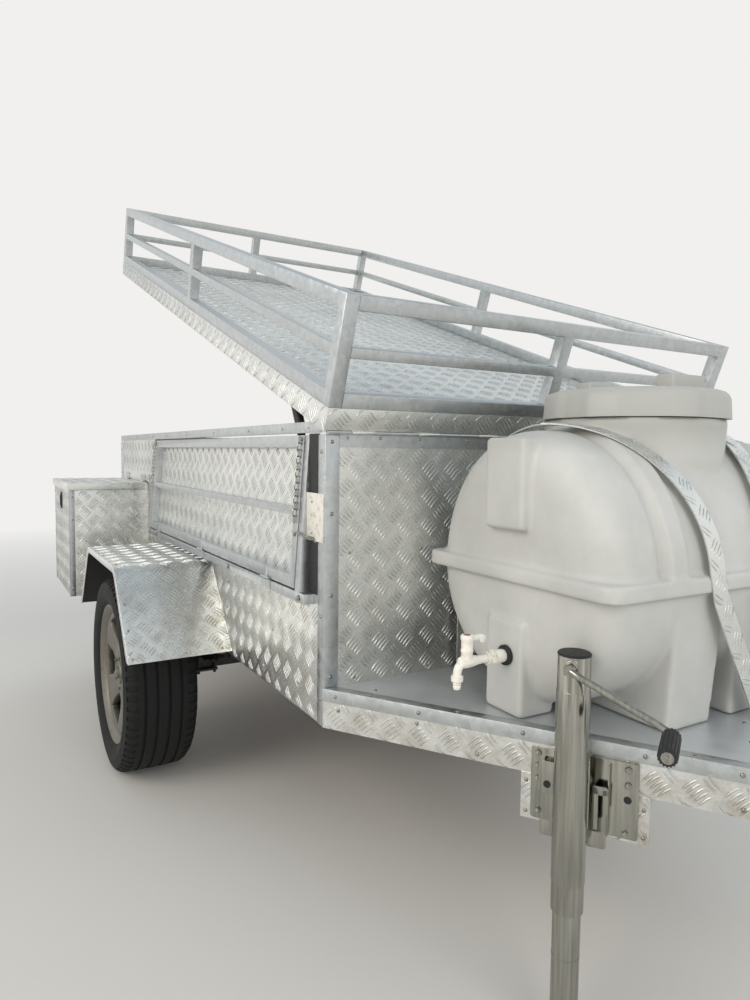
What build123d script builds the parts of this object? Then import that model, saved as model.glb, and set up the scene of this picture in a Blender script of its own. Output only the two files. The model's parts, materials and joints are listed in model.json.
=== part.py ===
"""Box trailer with a lifting lid, a roof rack and a water tank on the drawbar.

X points forward to the coupling, Y to the trailer's left and Z up, in millimetres.
Z is 0 on the ground, Y is 0 in the middle, and X is 0 halfway from the coupling's nose to the tail lamps.
Sheets, tubes and solids are at their real size. Tread bars, rivets and finish belong to the looks.
"""
from math import atan2, cos, degrees, pi, radians, sin, tan
import os

from build123d import *

os.makedirs("parts", exist_ok=True)

# Driving sizes of the box
box_length = 2440.0
box_width = 1320.0
box_bottom = 497.0
deck_top = 590.0
wall_top = 1220.0
wall = 25.0
sheet = 3.0
strip_sheet = 2.0
floor_thick = 15.0
touch = 0.3
swing_gap = 6.0
rod_sides = 12
knuckle_sides = 8
oval_sides = 40

# Drawbar, platform and coupling
drawbar_angle = 33.0
deck_front = 950.0
nose_reach = 1160.0
edge_angle = 28.0
rail_width = 50.0
rail_height = 70.0

# Lid and rack
lid_open = 20.0
lid_skirt = 58.0
lid_side_gap = 7.0
hinge_drop = 25.0
hinge_out = 8.0
knuckle_r = 4.5
rack_height = 255.0
rack_tube = 35.0
rack_mid_tube = 25.0

# Side hatches
hatch_front = 120.0
hatch_length = 1560.0
hatch_bottom = 812.0
hatch_top = 1190.0
hatch_proud = 28.0
hatch_tube = 30.0
hatch_mid_tube = 20.0
strip_height = 25.0

# Wheels and axle
axle_back = 1150.0
wheel_z = 345.0
tyre_r = 345.0
tyre_half = 120.0
tread_half = 98.0
bead_r = 228.6
rim_lip_r = 246.0
wheel_track_y = 840.0
axle_square = 45.0

# Mudguards
guard_width = 320.0
guard_top = 775.0
guard_bottom = 513.0
guard_flat = 550.0
guard_reach = 980.0
guard_bend = 70.0
guard_lip = 22.0

# Side boxes behind the wheels
locker_gap = 150.0
locker_tail = 70.0
locker_width = 330.0
locker_bottom = 503.0
locker_top = 995.0
locker_wall = 4.0
locker_lid_gap = 8.0
locker_lid_skirt = 26.0

# Water tank
tank_ahead = 316.0
tank_axis = 300.0
tank_r = 284.0
tank_half = 400.0
belt_half_x = 289.0
belt_half_y = 388.0
belt_height = 32.0
belt_corner = 60.0
neck_r = 203.0
neck_top = 643.0
screw_lid_r = 213.0
screw_lid_height = 68.0

# Jack
jack_ahead = 506.5
jack_out = 47.0
jack_r = 29.0
jack_wall = 3.5
jack_top = 770.0
jack_sleeve_bottom = 273.0
leg_r = 24.0
foot_square = 110.0
foot_thick = 8.0

# Tail
lamp_depth = 24.0

# Places worked out from the sizes
half_width = box_width / 2
wall_x = (box_length + lamp_depth - nose_reach) / 2
rear_x = wall_x - box_length
axle_x = wall_x - axle_back
tank_x = wall_x + tank_ahead
tank_z = deck_top + tank_axis
sides = (("right", -1), ("left", 1))


def save(part, name):
    """Label one finished piece and write its file."""
    part.label = name
    export_step(part, "parts/" + name + ".step")


def block(x0, x1, y0, y1, z0, z1):
    """Add a box between two corners to the part that is being built."""
    with Locations(((x0 + x1) / 2, (y0 + y1) / 2, (z0 + z1) / 2)):
        Box(abs(x1 - x0), abs(y1 - y0), abs(z1 - z0))


def cut(x0, x1, y0, y1, z0, z1):
    """Cut a box between two corners from the part that is being built."""
    with Locations(((x0 + x1) / 2, (y0 + y1) / 2, (z0 + z1) / 2)):
        Box(abs(x1 - x0), abs(y1 - y0), abs(z1 - z0), mode=Mode.SUBTRACT)


def rod(start, end, r, flats=rod_sides):
    """Add a rod between two points, with flats in place of a round face to keep it light."""
    way = end - start
    with BuildSketch(Plane(origin=start, z_dir=way)) as disc:
        RegularPolygon(r, flats)
    extrude(disc.sketch, amount=way.length)


# Chassis: two rails and the cross members under the floor
floor_bottom = deck_top - floor_thick
rail_outer = half_width - wall
with BuildPart() as chassis_rails:
    for name, s in sides:
        block(rear_x + wall, wall_x - wall, s * rail_outer, s * (rail_outer - rail_width),
              floor_bottom - rail_height, floor_bottom)
save(chassis_rails.part, "chassis_rails")

cross_count = 5
cross_pitch = (box_length - 2 * wall - rail_width) / (cross_count - 1)
with BuildPart() as cross_members:
    for i in range(cross_count):
        x = rear_x + wall + i * cross_pitch
        block(x, x + rail_width, rail_width - rail_outer, rail_outer - rail_width,
              floor_bottom - rail_height, floor_bottom)
save(cross_members.part, "cross_members")

with BuildPart() as floor:
    block(rear_x + wall, wall_x - wall, -rail_outer, rail_outer, floor_bottom, deck_top)
save(floor.part, "box_floor")

# Walls: the front wall runs across, the side walls end against it and against the rear wall
with BuildPart() as front_wall:
    block(wall_x - wall, wall_x, -half_width, half_width, box_bottom, wall_top)
save(front_wall.part, "front_wall")

hatch_x1 = wall_x - hatch_front
hatch_x0 = hatch_x1 - hatch_length
for name, s in sides:
    with BuildPart() as side_wall:
        block(rear_x + wall, wall_x - wall, s * rail_outer, s * half_width, box_bottom, wall_top)
        cut(hatch_x0 - swing_gap, hatch_x1 + swing_gap, s * (rail_outer - 1), s * (half_width + 1),
            hatch_bottom - swing_gap, hatch_top + swing_gap)
    save(side_wall.part, "side_wall_" + name)

gate_half = 560.0
gate_bottom = 640.0
gate_top = 1165.0
with BuildPart() as rear_wall:
    block(rear_x, rear_x + wall, -half_width, half_width, box_bottom, wall_top)
    cut(rear_x - 1, rear_x + wall + 1, -gate_half, gate_half, gate_bottom, gate_top)
save(rear_wall.part, "rear_wall")

# Tailgate: hinged along its lower edge, with the pin line outside the panel
gate_gap = 5.0
gate_pin_r = 5.0
gate_pin_x = rear_x - gate_pin_r
gate_pin_z = gate_bottom
gate_hinge_at = (-330.0, 330.0)
gate_hinge_length = 120.0
with BuildPart() as tailgate:
    block(rear_x, rear_x + wall, gate_gap - gate_half, gate_half - gate_gap,
          gate_bottom + gate_gap, gate_top - gate_gap)
    for y in gate_hinge_at:
        block(rear_x - sheet, rear_x, y - gate_hinge_length / 2, y + gate_hinge_length / 2,
              gate_bottom + gate_gap, gate_bottom + 130)
        with BuildSketch(Plane.XZ.offset(gate_hinge_length / 6 - y)):
            with Locations((gate_pin_x, gate_pin_z)):
                Circle(gate_pin_r)
            with Locations((gate_pin_x + gate_pin_r - sheet / 2, gate_pin_z + gate_gap)):
                Rectangle(sheet, 2 * gate_gap)
        extrude(amount=-gate_hinge_length / 3)
    for y in (-gate_half + 120, gate_half - 120):
        block(rear_x - 4, rear_x, y - 35, y + 35, gate_top - 95, gate_top - 45)
        block(rear_x - 18, rear_x - 4, y - 9, y + 9, gate_top - 88, gate_top - 52)
save(tailgate.part, "tailgate")


# Corner angles outside the four corners, and the strips along the walls' tops
angle_leg = 34.0
angle_top = wall_top - hinge_drop - 5
with BuildPart() as corner_angles:
    for x, t, face_bottom in ((wall_x, 1, deck_top + strip_sheet), (rear_x, -1, box_bottom)):
        for name, s in sides:
            block(x, x - t * angle_leg, s * half_width, s * (half_width + sheet), box_bottom, angle_top)
            block(x, x + t * sheet, s * (half_width + sheet), s * (half_width - angle_leg), face_bottom, angle_top)
save(corner_angles.part, "corner_angles")

with BuildPart() as top_strips:
    for name, s in sides:
        block(rear_x, wall_x - wall, s * half_width, s * (half_width + strip_sheet),
              wall_top - hinge_drop, wall_top)
        block(rear_x, wall_x - wall, s * (half_width + strip_sheet), s * rail_outer,
              wall_top, wall_top + strip_sheet)
    block(rear_x, rear_x + wall, -rail_outer, rail_outer, wall_top, wall_top + strip_sheet)
save(top_strips.part, "top_strips")

# Platform on the drawbar
a = radians(drawbar_angle)
nose_half = half_width - deck_front * tan(a)
rail_top = deck_top - sheet


def edge_plane(s, z):
    """Plane whose X runs forward along one edge of the platform and whose Y points out of it."""
    return Plane(origin=(wall_x, s * half_width, z), x_dir=(cos(a), -s * sin(a), 0), z_dir=(0, 0, s))


edge_length = deck_front / cos(a)
with BuildPart() as platform_deck:
    with BuildSketch(Plane.XY.offset(rail_top)):
        with BuildLine():
            Polyline((wall_x, -half_width), (wall_x + deck_front, -nose_half),
                     (wall_x + deck_front, nose_half), (wall_x, half_width), close=True)
        make_face()
    extrude(amount=sheet)
save(platform_deck.part, "platform_deck")

skirt_out = strip_sheet + sheet


def along_edge(s, out0, out1, z0, z1, start=0.0):
    """Add a bar along one edge of the platform, from the front wall's face or a start further on."""
    with BuildSketch(edge_plane(s, z0)) as band:
        with BuildLine():
            Polyline((start - out0 * tan(a), out0), (edge_length, out0), (edge_length, out1),
                     (start - out1 * tan(a), out1), close=True)
        make_face()
    extrude(band.sketch, amount=s * (z1 - z0))


with BuildPart() as platform_skirts:
    for name, s in sides:
        along_edge(s, 0, sheet, box_bottom, deck_top)
save(platform_skirts.part, "platform_skirts")

# Galvanised angles on the platform's edges, over the deck and the skirts
with BuildPart() as edge_angles:
    for name, s in sides:
        along_edge(s, skirt_out - edge_angle, skirt_out, deck_top, deck_top + strip_sheet)
        along_edge(s, sheet, skirt_out, deck_top - edge_angle, deck_top)
save(edge_angles.part, "edge_angles")

# Drawbar: two rails that run to the tongue, and two cross members under the deck
tongue_half = 30.0
tongue_start = 760.0
tongue_end = nose_reach - 110.0
rail_z0 = rail_top - rail_height
rail_cut = rail_width / cos(a)
with BuildPart() as drawbar_rails:
    for name, s in sides:
        with BuildSketch(Plane.XY.offset(rail_z0)):
            with BuildLine():
                Polyline((wall_x, s * half_width), (wall_x + (half_width - tongue_half) / tan(a), s * tongue_half),
                         (wall_x + (half_width - rail_cut - tongue_half) / tan(a), s * tongue_half),
                         (wall_x, s * (half_width - rail_cut)), close=True)
            make_face()
        extrude(amount=rail_height)
save(drawbar_rails.part, "drawbar_rails")

drawbar_cross_at = (250.0, 560.0)
with BuildPart() as drawbar_cross:
    block(wall_x + tongue_start, wall_x + tongue_end, -tongue_half, tongue_half, rail_z0, rail_top)
    for d in drawbar_cross_at:
        reach = half_width - rail_cut - (d + rail_width) * tan(a)
        block(wall_x + d, wall_x + d + rail_width, -reach, reach, rail_z0, rail_top)
save(drawbar_cross.part, "drawbar_cross_members")

# Ball coupling on the tongue, with its socket open below
ball_r = 25.3
head_r = 45.0
ball_x = wall_x + nose_reach - head_r
socket_z = 565.0
socket_depth = 30.0
coupling_top = 628.0
coupling_half = 34.0
with BuildPart() as coupling:
    block(wall_x + deck_front + 5, ball_x, -coupling_half, coupling_half, rail_top, coupling_top)
    with Locations((ball_x, 0, (socket_z + coupling_top) / 2)):
        Cylinder(head_r, coupling_top - socket_z)
    with Locations((ball_x, 0, socket_z + socket_depth / 2)):
        Cylinder(ball_r, socket_depth, mode=Mode.SUBTRACT)
    block(ball_x - 110, ball_x + 10, -14, 14, coupling_top, coupling_top + 14)
    block(ball_x - 130, ball_x - 60, -20, 20, coupling_top + 14, coupling_top + 22)
save(coupling.part, "coupling")

# Axle beam with its two spindles
spindle_r = 15.0
spindle_end = wheel_track_y + 30
beam_end = wheel_track_y - tyre_half - 10
with BuildPart() as axle:
    block(axle_x - axle_square / 2, axle_x + axle_square / 2, -beam_end, beam_end,
          wheel_z - axle_square / 2, wheel_z + axle_square / 2)
    with BuildSketch(Plane.XZ.offset(-spindle_end)):
        with Locations((axle_x, wheel_z)):
            Circle(spindle_r)
    extrude(amount=2 * spindle_end)
save(axle.part, "axle")

# Leaf springs over the axle: each leaf is an arc band, shorter towards the axle
leaf_thick = 8.0
leaf_half = (380.0, 310.0, 240.0, 170.0, 100.0)
spring_sag = 70.0
spring_width = 44.0
spring_y = rail_outer - rail_width / 2 - 4
leaf_r = (leaf_half[0] ** 2 + spring_sag ** 2) / (2 * spring_sag)
pack_bottom = wheel_z + axle_square / 2 + touch
leaf_centre_z = pack_bottom + len(leaf_half) * leaf_thick + leaf_r
eye_r = 13.0
eye_hole_r = 6.3
eye_pin_r = 6.0
eye_z = leaf_centre_z - leaf_r * cos(leaf_half[0] / leaf_r) + eye_r - leaf_thick
eye_half = leaf_r * sin(leaf_half[0] / leaf_r)
leaf_runs = 8


def leaf_line(r, reach):
    """Return the points of one side of a leaf, on an arc of radius r, from its rear end to its front end."""
    angles = [reach * (2 * i / leaf_runs - 1) for i in range(leaf_runs + 1)]
    return [(axle_x + r * sin(t), leaf_centre_z - r * cos(t)) for t in angles]


with BuildPart() as springs:
    for name, s in sides:
        with BuildSketch(Plane.XZ.offset(-s * spring_y - spring_width / 2)):
            for i, half in enumerate(leaf_half):
                r0 = leaf_r + i * leaf_thick
                upper = leaf_line(r0, half / leaf_r)
                lower = leaf_line(r0 + leaf_thick + touch, half / leaf_r)
                with BuildLine():
                    Polyline(upper + lower[::-1], close=True)
                make_face()
            with Locations((axle_x - eye_half, eye_z), (axle_x + eye_half, eye_z)):
                Circle(eye_r)
                Circle(eye_hole_r, mode=Mode.SUBTRACT)
        extrude(amount=spring_width)
save(springs.part, "springs")

# Clamps hold the springs on the axle, by a plate below it, a pad above and four rods
clamp_plate = 8.0
clamp_rod_r = 6.0
clamp_half_x = axle_square / 2 + 10
clamp_half_y = spring_width / 2 + 9
clamp_top = pack_bottom + len(leaf_half) * leaf_thick + touch

# Hangers hold the eyes of the springs under the chassis rails
hanger_plate = 5.0
hanger_half = 24.0
with BuildPart() as spring_fittings:
    for name, s in sides:
        for x in (axle_x - eye_half, axle_x + eye_half):
            for t in (-1, 1):
                y = s * spring_y + t * (spring_width / 2 + 1)
                block(x - hanger_half, x + hanger_half, y, y + t * hanger_plate, eye_z - 20, floor_bottom - rail_height)
            y = s * spring_y
            block(x - hanger_half, x + hanger_half, y - spring_width / 2 - 1, y + spring_width / 2 + 1,
                  floor_bottom - rail_height - hanger_plate, floor_bottom - rail_height)
            rod(Vector(x, y - spring_width / 2 - 4, eye_z), Vector(x, y + spring_width / 2 + 4, eye_z), eye_pin_r)
    for name, s in sides:
        y = s * spring_y
        z = wheel_z - axle_square / 2
        block(axle_x - clamp_half_x - 10, axle_x + clamp_half_x + 10, y - clamp_half_y - 9, y + clamp_half_y + 9,
              z - clamp_plate, z)
        block(axle_x - clamp_half_x - 10, axle_x + clamp_half_x + 10, y - clamp_half_y - 9, y + clamp_half_y + 9,
              clamp_top + 4, clamp_top + 4 + clamp_plate)
        with BuildSketch(Plane.XY.offset(z - clamp_plate - 10)):
            with Locations((axle_x, y)):
                with GridLocations(2 * clamp_half_x, 2 * clamp_half_y, 2, 2):
                    RegularPolygon(clamp_rod_r, 8)
        extrude(amount=clamp_top + 4 + clamp_plate + 10 - z + clamp_plate + 10)
save(spring_fittings.part, "spring_fittings")

# Wheels: outlines give the radius first, then the distance out of the wheel's middle plane
rim_half = 104.0
lip_thick = 6.0
barrel_in = 8.0
disc_out = 84.0
disc_thick = 24.0
hub_r = 62.0
hub_in = 70.0
bore_gap = 0.3
window_count = 5
rim_outline = ((rim_lip_r, -rim_half), (bead_r, lip_thick + 2 - rim_half), (bead_r, rim_half - lip_thick - 2),
               (rim_lip_r, rim_half), (bead_r - barrel_in, rim_half - 4), (bead_r - barrel_in, 4 - rim_half))
bead_half = rim_half - 14
tyre_outline = ((bead_r + touch, -bead_half), (tyre_r - 58, -tyre_half), (tyre_r, -tread_half),
                (tyre_r, tread_half), (tyre_r - 58, tyre_half), (bead_r + touch, bead_half))
spin = Axis((axle_x, 0, wheel_z), (0, 1, 0))
with BuildSketch() as window:
    with BuildLine():
        Polyline((108, 22), (108, -22), (192, -62), (203, 0), (192, 62), close=True)
    make_face()
for name, s in sides:
    with BuildPart() as rim:
        with BuildSketch(Plane.YZ.offset(axle_x)):
            with BuildLine():
                Polyline([(s * (wheel_track_y + t), wheel_z + r) for r, t in rim_outline], close=True)
            make_face()
        revolve(axis=spin)
        face = Plane(origin=(axle_x, s * (wheel_track_y + disc_out), wheel_z), x_dir=(1, 0, 0), z_dir=(0, s, 0))
        with BuildSketch(face):
            Circle(bead_r - barrel_in + 1)
        extrude(amount=-disc_thick)
        with BuildSketch(face):
            with PolarLocations(0, window_count):
                add(window.sketch)
        extrude(amount=-disc_thick, mode=Mode.SUBTRACT)
        with BuildSketch(face):
            Circle(hub_r)
        extrude(amount=-disc_out - hub_in)
        with BuildSketch(face):
            Circle(30)
        extrude(amount=7)
        with BuildSketch(Plane(origin=(axle_x, s * (wheel_track_y - hub_in), wheel_z), x_dir=(1, 0, 0), z_dir=(0, s, 0))):
            Circle(spindle_r + bore_gap)
        extrude(amount=hub_in + 34, mode=Mode.SUBTRACT)
    save(rim.part, "rim_" + name)
    with BuildPart() as tyre:
        with BuildSketch(Plane.YZ.offset(axle_x)):
            with BuildLine():
                Polyline([(s * (wheel_track_y + t), wheel_z + r) for r, t in tyre_outline], close=True)
            make_face()
        revolve(axis=spin)
    save(tyre.part, "tyre_" + name)

# Mudguards: a bent sheet over each wheel with a lip along its outer edge
guard_low = 100.0
guard_slope = (guard_reach - guard_flat) / 2 / (guard_top - guard_bottom)
guard_base = guard_reach / 2 + guard_low * guard_slope


def guard_outline(inset):
    """Return the filled side view of a mudguard, set in from its outside, which runs on below its lower edge."""
    with BuildSketch(mode=Mode.PRIVATE) as outer:
        with BuildLine():
            Polyline((axle_x - guard_base, guard_bottom - guard_low), (axle_x - guard_flat / 2, guard_top),
                     (axle_x + guard_flat / 2, guard_top), (axle_x + guard_base, guard_bottom - guard_low), close=True)
        make_face()
        fillet(outer.vertices().group_by(Axis.Y)[-1], guard_bend)
    shape = outer.sketch
    if inset:
        shape = offset(shape, -inset, mode=Mode.PRIVATE)
    return shape


with BuildPart() as mudguards:
    for name, s in sides:
        for width, inset in ((guard_width, sheet), (sheet, guard_lip)):
            outside = s * (half_width + guard_width)
            with BuildSketch(Plane.XZ.offset(-outside)):
                add(guard_outline(0))
                add(guard_outline(inset), mode=Mode.SUBTRACT)
            extrude(amount=s * width)
    cut(axle_x - guard_reach, axle_x + guard_reach, -2 * half_width, 2 * half_width,
        guard_bottom - 2 * guard_low, guard_bottom)
save(mudguards.part, "mudguards")

# Side boxes behind the wheels: open at the top, with a lid hinged on the trailer's side
locker_x1 = hatch_x0 - locker_gap
locker_x0 = rear_x + locker_tail
locker_in = half_width + sheet + touch
locker_out = locker_in + locker_width
locker_pin_r = 4.0
locker_pin_y = half_width + 8
locker_pin_z = locker_top + 11
lid_sheet = 3.0
for name, s in sides:
    with BuildPart() as locker:
        block(locker_x0, locker_x1, s * half_width, s * locker_out, locker_bottom, locker_top)
        cut(locker_x0 + locker_wall, locker_x1 - locker_wall, s * (half_width + locker_wall),
            s * (locker_out - locker_wall), locker_bottom + locker_wall, locker_top + 1)
    save(locker.part, "side_box_" + name)
    with BuildPart() as locker_lid:
        x0 = locker_x0 - locker_lid_gap
        x1 = locker_x1 + locker_lid_gap
        y0 = locker_pin_y
        y1 = locker_out + locker_lid_gap
        z0 = locker_top + 3
        block(x0 - lid_sheet, x1 + lid_sheet, s * y0, s * (y1 + lid_sheet), z0, z0 + lid_sheet)
        block(x0 - lid_sheet, x0, s * y0, s * (y1 + lid_sheet), z0 - locker_lid_skirt, z0)
        block(x1, x1 + lid_sheet, s * y0, s * (y1 + lid_sheet), z0 - locker_lid_skirt, z0)
        block(x0, x1, s * y1, s * (y1 + lid_sheet), z0 - locker_lid_skirt, z0)
        for x in (locker_x0 + 90, locker_x1 - 90):
            with BuildSketch(Plane.YZ.offset(x - 15)):
                with Locations((s * locker_pin_y, locker_pin_z)):
                    Circle(locker_pin_r)
                with Locations((s * (locker_pin_y + 2.4), (z0 + lid_sheet - 1 + locker_pin_z) / 2)):
                    Rectangle(3, locker_pin_z - z0 - lid_sheet + 1)
            extrude(amount=30)
    save(locker_lid.part, "side_box_lid_" + name)


# Water tank: lofted ends on a round barrel that lies across the trailer
# Sections of one end, as distance from the middle, share of the barrel's width and share of its height
end_sections = ((190, 1.0, 1.0), (290, 0.965, 0.915), (350, 0.89, 0.76), (388, 0.66, 0.46))
band_y = 122.0
band_width = 78.0
band_out = 12.0
foot_y = 100.0
foot_width = 150.0
foot_half_x = 264.0
port_width = 116.0
port_top = 207.0
badge_in = 295.0
badge_bottom = 397.0
badge_top = 597.0
port_half = 388.0
turn_step = 2 * pi / oval_sides


def oval(half_x, half_z, y):
    """Sketch an oval of the tank, square to its length, with short flats in place of a round edge."""
    with BuildSketch(Plane.XZ.offset(-y)) as area:
        with BuildLine():
            Polyline([(tank_x + half_x * cos(i * turn_step), tank_z + half_z * sin(i * turn_step))
                      for i in range(oval_sides)], close=True)
        make_face()
    return area.sketch


with BuildPart() as tank:
    extrude(oval(tank_r, tank_r, -end_sections[0][0]), amount=-2 * end_sections[0][0])
    for name, s in sides:
        loft([oval(tank_r * wide, tank_r * high, s * y) for y, wide, high in end_sections], ruled=True)
        extrude(oval(tank_r + band_out, tank_r + band_out, s * band_y - band_width / 2), amount=-band_width)
        cut(tank_x - tank_r - band_out - 1, tank_x - tank_r, s * band_y - band_width, s * band_y + band_width,
            deck_top, tank_z)
        cut(tank_x + tank_r, tank_x + tank_r + band_out + 1, s * band_y - band_width, s * band_y + band_width,
            deck_top, tank_z)
        block(tank_x - foot_half_x, tank_x + foot_half_x, s * (foot_y - foot_width / 2), s * (foot_y + foot_width / 2),
              deck_top + touch, tank_z)
        block(tank_x - port_width / 2, tank_x + port_width / 2, s * 300, s * port_half, deck_top + touch,
              deck_top + port_top)
        block(tank_x - port_width / 2, tank_x + port_width / 2, s * badge_in, s * tank_half,
              deck_top + badge_bottom, deck_top + badge_top)
    with BuildSketch(Plane.XY.offset(tank_z - belt_height / 2)):
        with Locations((tank_x, 0)):
            RectangleRounded(2 * belt_half_x, 2 * belt_half_y, belt_corner)
    extrude(amount=belt_height)
    with BuildSketch(Plane.XY.offset(deck_top + 450)):
        with Locations((tank_x, 0)):
            RegularPolygon(neck_r, oval_sides)
    extrude(amount=neck_top - 450)
save(tank.part, "water_tank")

# Screw lid: a disc with eight low lobes and a bar across its top
lobe_count = 8
lobe_in = 6.0
lid_bar = (150.0, 56.0, 30.0)
with BuildPart() as screw_lid:
    with BuildSketch(Plane.XY.offset(deck_top + neck_top + touch)):
        with Locations((tank_x, 0)):
            RegularPolygon(screw_lid_r - lobe_in, oval_sides)
            with PolarLocations(screw_lid_r - 40, lobe_count):
                Rectangle(2 * 40, 96)
    extrude(amount=screw_lid_height)
    with Locations((tank_x, 0, deck_top + neck_top + touch + screw_lid_height + lid_bar[2] / 2)):
        Box(lid_bar[1], lid_bar[0], lid_bar[2])
save(screw_lid.part, "tank_lid")

# Straps: flat bars over the tank, each in an upright plane that turns in towards the tongue
strap_turn = 30.0
strap_width = 45.0
strap_thick = 3.0
b = radians(strap_turn)
strap_y = (neck_r + 1 + strap_width / 2) / cos(b)
strap_out = tank_r + band_out + 4.0
strap_foot = 60.0
strap_runs = 14
strap_step = 74 / strap_runs


def strap_half(s, t, turn, foot):
    """Add half a strap: from the tank's crest down one face, with t as 1 ahead and -1 behind."""
    side = t * s * sin(turn)
    plane = Plane(origin=(tank_x, s * strap_y, tank_z), x_dir=(t * cos(turn), -side * t, 0),
                  z_dir=(-side * t, -t * cos(turn), 0))
    spread = strap_width / 2 * sin(turn)
    wide = (strap_out + spread) / cos(turn)
    belt = (belt_half_x + spread + 1) / cos(turn)
    low = touch - tank_axis
    out = belt + strap_thick
    turns = [radians(92 - strap_step * i) for i in range(strap_runs + 1)]
    inner = [(wide * cos(t), strap_out * sin(t)) for t in turns]
    outer = [((wide + strap_thick) * cos(t), (strap_out + strap_thick) * sin(t)) for t in turns]
    with BuildSketch(plane.offset(-strap_width / 2)) as band:
        with BuildLine():
            Polyline(inner + [(belt, 20), (belt, -20), (belt + foot, low), (out + foot, low), (out, -20),
                              (out, 22)] + outer[::-1], close=True)
        make_face()
    extrude(band.sketch, amount=strap_width)


with BuildPart() as straps:
    for name, s in sides:
        strap_half(s, 1, b, strap_foot)
        strap_half(s, -1, 0.0, 0.0)
save(straps.part, "tank_straps")

# Tap on the right end's lower block
tap_z = deck_top + 129.0
tap_x = tank_x + 10
tap_face = -port_half
with BuildPart() as tap:
    for y0, y1, r in ((0, 8, 22), (8, 32, 15), (40, 120, 10), (122, 134, 15)):
        rod(Vector(tap_x, tap_face - y0, tap_z), Vector(tap_x, tap_face - y1, tap_z), r)
    with BuildSketch(Plane(origin=(tap_x, tap_face - 30, tap_z), x_dir=(1, 0, 0), z_dir=(0, -1, 0))):
        RegularPolygon(17, 6)
    extrude(amount=12)
    rod(Vector(tap_x, tap_face - 105, tap_z - 4), Vector(tap_x, tap_face - 105, tap_z + 44), 13)
    with BuildSketch(Plane.XY.offset(tap_z + 44)):
        with Locations((tap_x, tap_face - 105)):
            RegularPolygon(14, rod_sides)
            Rectangle(54, 12)
    extrude(amount=12)
    rod(Vector(tap_x, tap_face - 128, tap_z - 24), Vector(tap_x, tap_face - 128, tap_z + 2), 13)
    with BuildSketch(Plane.XY.offset(tap_z - 54)):
        with Locations((tap_x, tap_face - 128)):
            Circle(8)
    extrude(amount=32)
save(tap.part, "tap")

# Jack stand on the right rail
jack_along = 587.0
jack_offset = 66.0
jack_pivot_z = 500.0
u = (cos(a), sin(a))
n = (sin(a), -cos(a))
jack_x = wall_x + jack_along * u[0] + jack_offset * n[0]
jack_y = -half_width + jack_along * u[1] + jack_offset * n[1]
collar_r = jack_r + 5.0
stub_r = 20.0
bracket_plate = 6.0


def edge_box(l0, l1, o0, o1, z0, z1):
    """Add a box that is square to the right edge of the platform: along it, out of it and up."""
    with BuildSketch(edge_plane(-1, z1)) as area:
        with Locations(((l0 + l1) / 2, (o0 + o1) / 2)):
            Rectangle(abs(l1 - l0), abs(o1 - o0))
    extrude(area.sketch, amount=z1 - z0)


with BuildPart() as jack_bracket:
    edge_box(jack_along - 95, jack_along + 95, -rail_width, 0, jack_pivot_z - 100, rail_z0)
    edge_box(jack_along - 95, jack_along + 95, 0, sheet, jack_pivot_z - 100, box_bottom)
    edge_box(jack_along - 50, jack_along + 70, sheet, sheet + bracket_plate, jack_pivot_z - 90, jack_pivot_z + 50)
    stub = Plane(origin=(jack_x, jack_y, jack_pivot_z), x_dir=(0, 0, 1), z_dir=(-n[0], -n[1], 0))
    with BuildSketch(stub.offset(collar_r + touch)):
        Circle(stub_r)
    extrude(amount=jack_offset - collar_r - touch - sheet - bracket_plate)
save(jack_bracket.part, "jack_bracket")

with BuildPart() as jack_tube:
    with Locations((jack_x, jack_y, (jack_top + jack_sleeve_bottom) / 2)):
        Cylinder(jack_r, jack_top - jack_sleeve_bottom)
    with Locations((jack_x, jack_y, jack_pivot_z)):
        Cylinder(collar_r, 70)
    with Locations((jack_x, jack_y, (jack_top + jack_sleeve_bottom) / 2 - 40)):
        Cylinder(leg_r + 0.5, jack_top - jack_sleeve_bottom - 79, mode=Mode.SUBTRACT)
save(jack_tube.part, "jack_tube")

crank_z = jack_top - 24.0
crank_arm = 184.0
crank_drop = 28.0
crank_r = 7.0
grip_r = 14.0
grip_length = 100.0
c = radians(crank_drop)
arm_dir = Vector(u[0] * cos(c), u[1] * cos(c), -sin(c))
out_dir = Vector(n[0], n[1], 0)
crank_start = Vector(jack_x, jack_y, crank_z) + out_dir * (jack_r + touch)
crank_knee = crank_start + out_dir * 16
crank_end = crank_knee + arm_dir * crank_arm


with BuildPart() as jack_crank:
    rod(crank_start, crank_knee + out_dir * 8, 11)
    rod(crank_knee, crank_end, crank_r)
    rod(crank_end - out_dir * 8, crank_end + out_dir * grip_length, crank_r)
save(jack_crank.part, "jack_crank")

with BuildPart() as jack_grip:
    rod(crank_end + out_dir * 10, crank_end + out_dir * (10 + grip_length), grip_r)
    with BuildSketch(Plane(origin=crank_end + out_dir * 10, z_dir=out_dir)):
        Circle(crank_r + touch)
    extrude(amount=grip_length - 5, mode=Mode.SUBTRACT)
save(jack_grip.part, "jack_grip")

leg_travel = 200.0
leg_top = jack_top - 90.0 - leg_travel
with BuildPart() as jack_leg:
    with Locations((jack_x, jack_y, (leg_top + foot_thick) / 2)):
        Cylinder(leg_r, leg_top - foot_thick)
    edge_box(jack_along - foot_square / 2, jack_along + foot_square / 2, jack_offset - foot_square / 2,
             jack_offset + foot_square / 2, 0, foot_thick)
save(jack_leg.part, "jack_leg")

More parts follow.
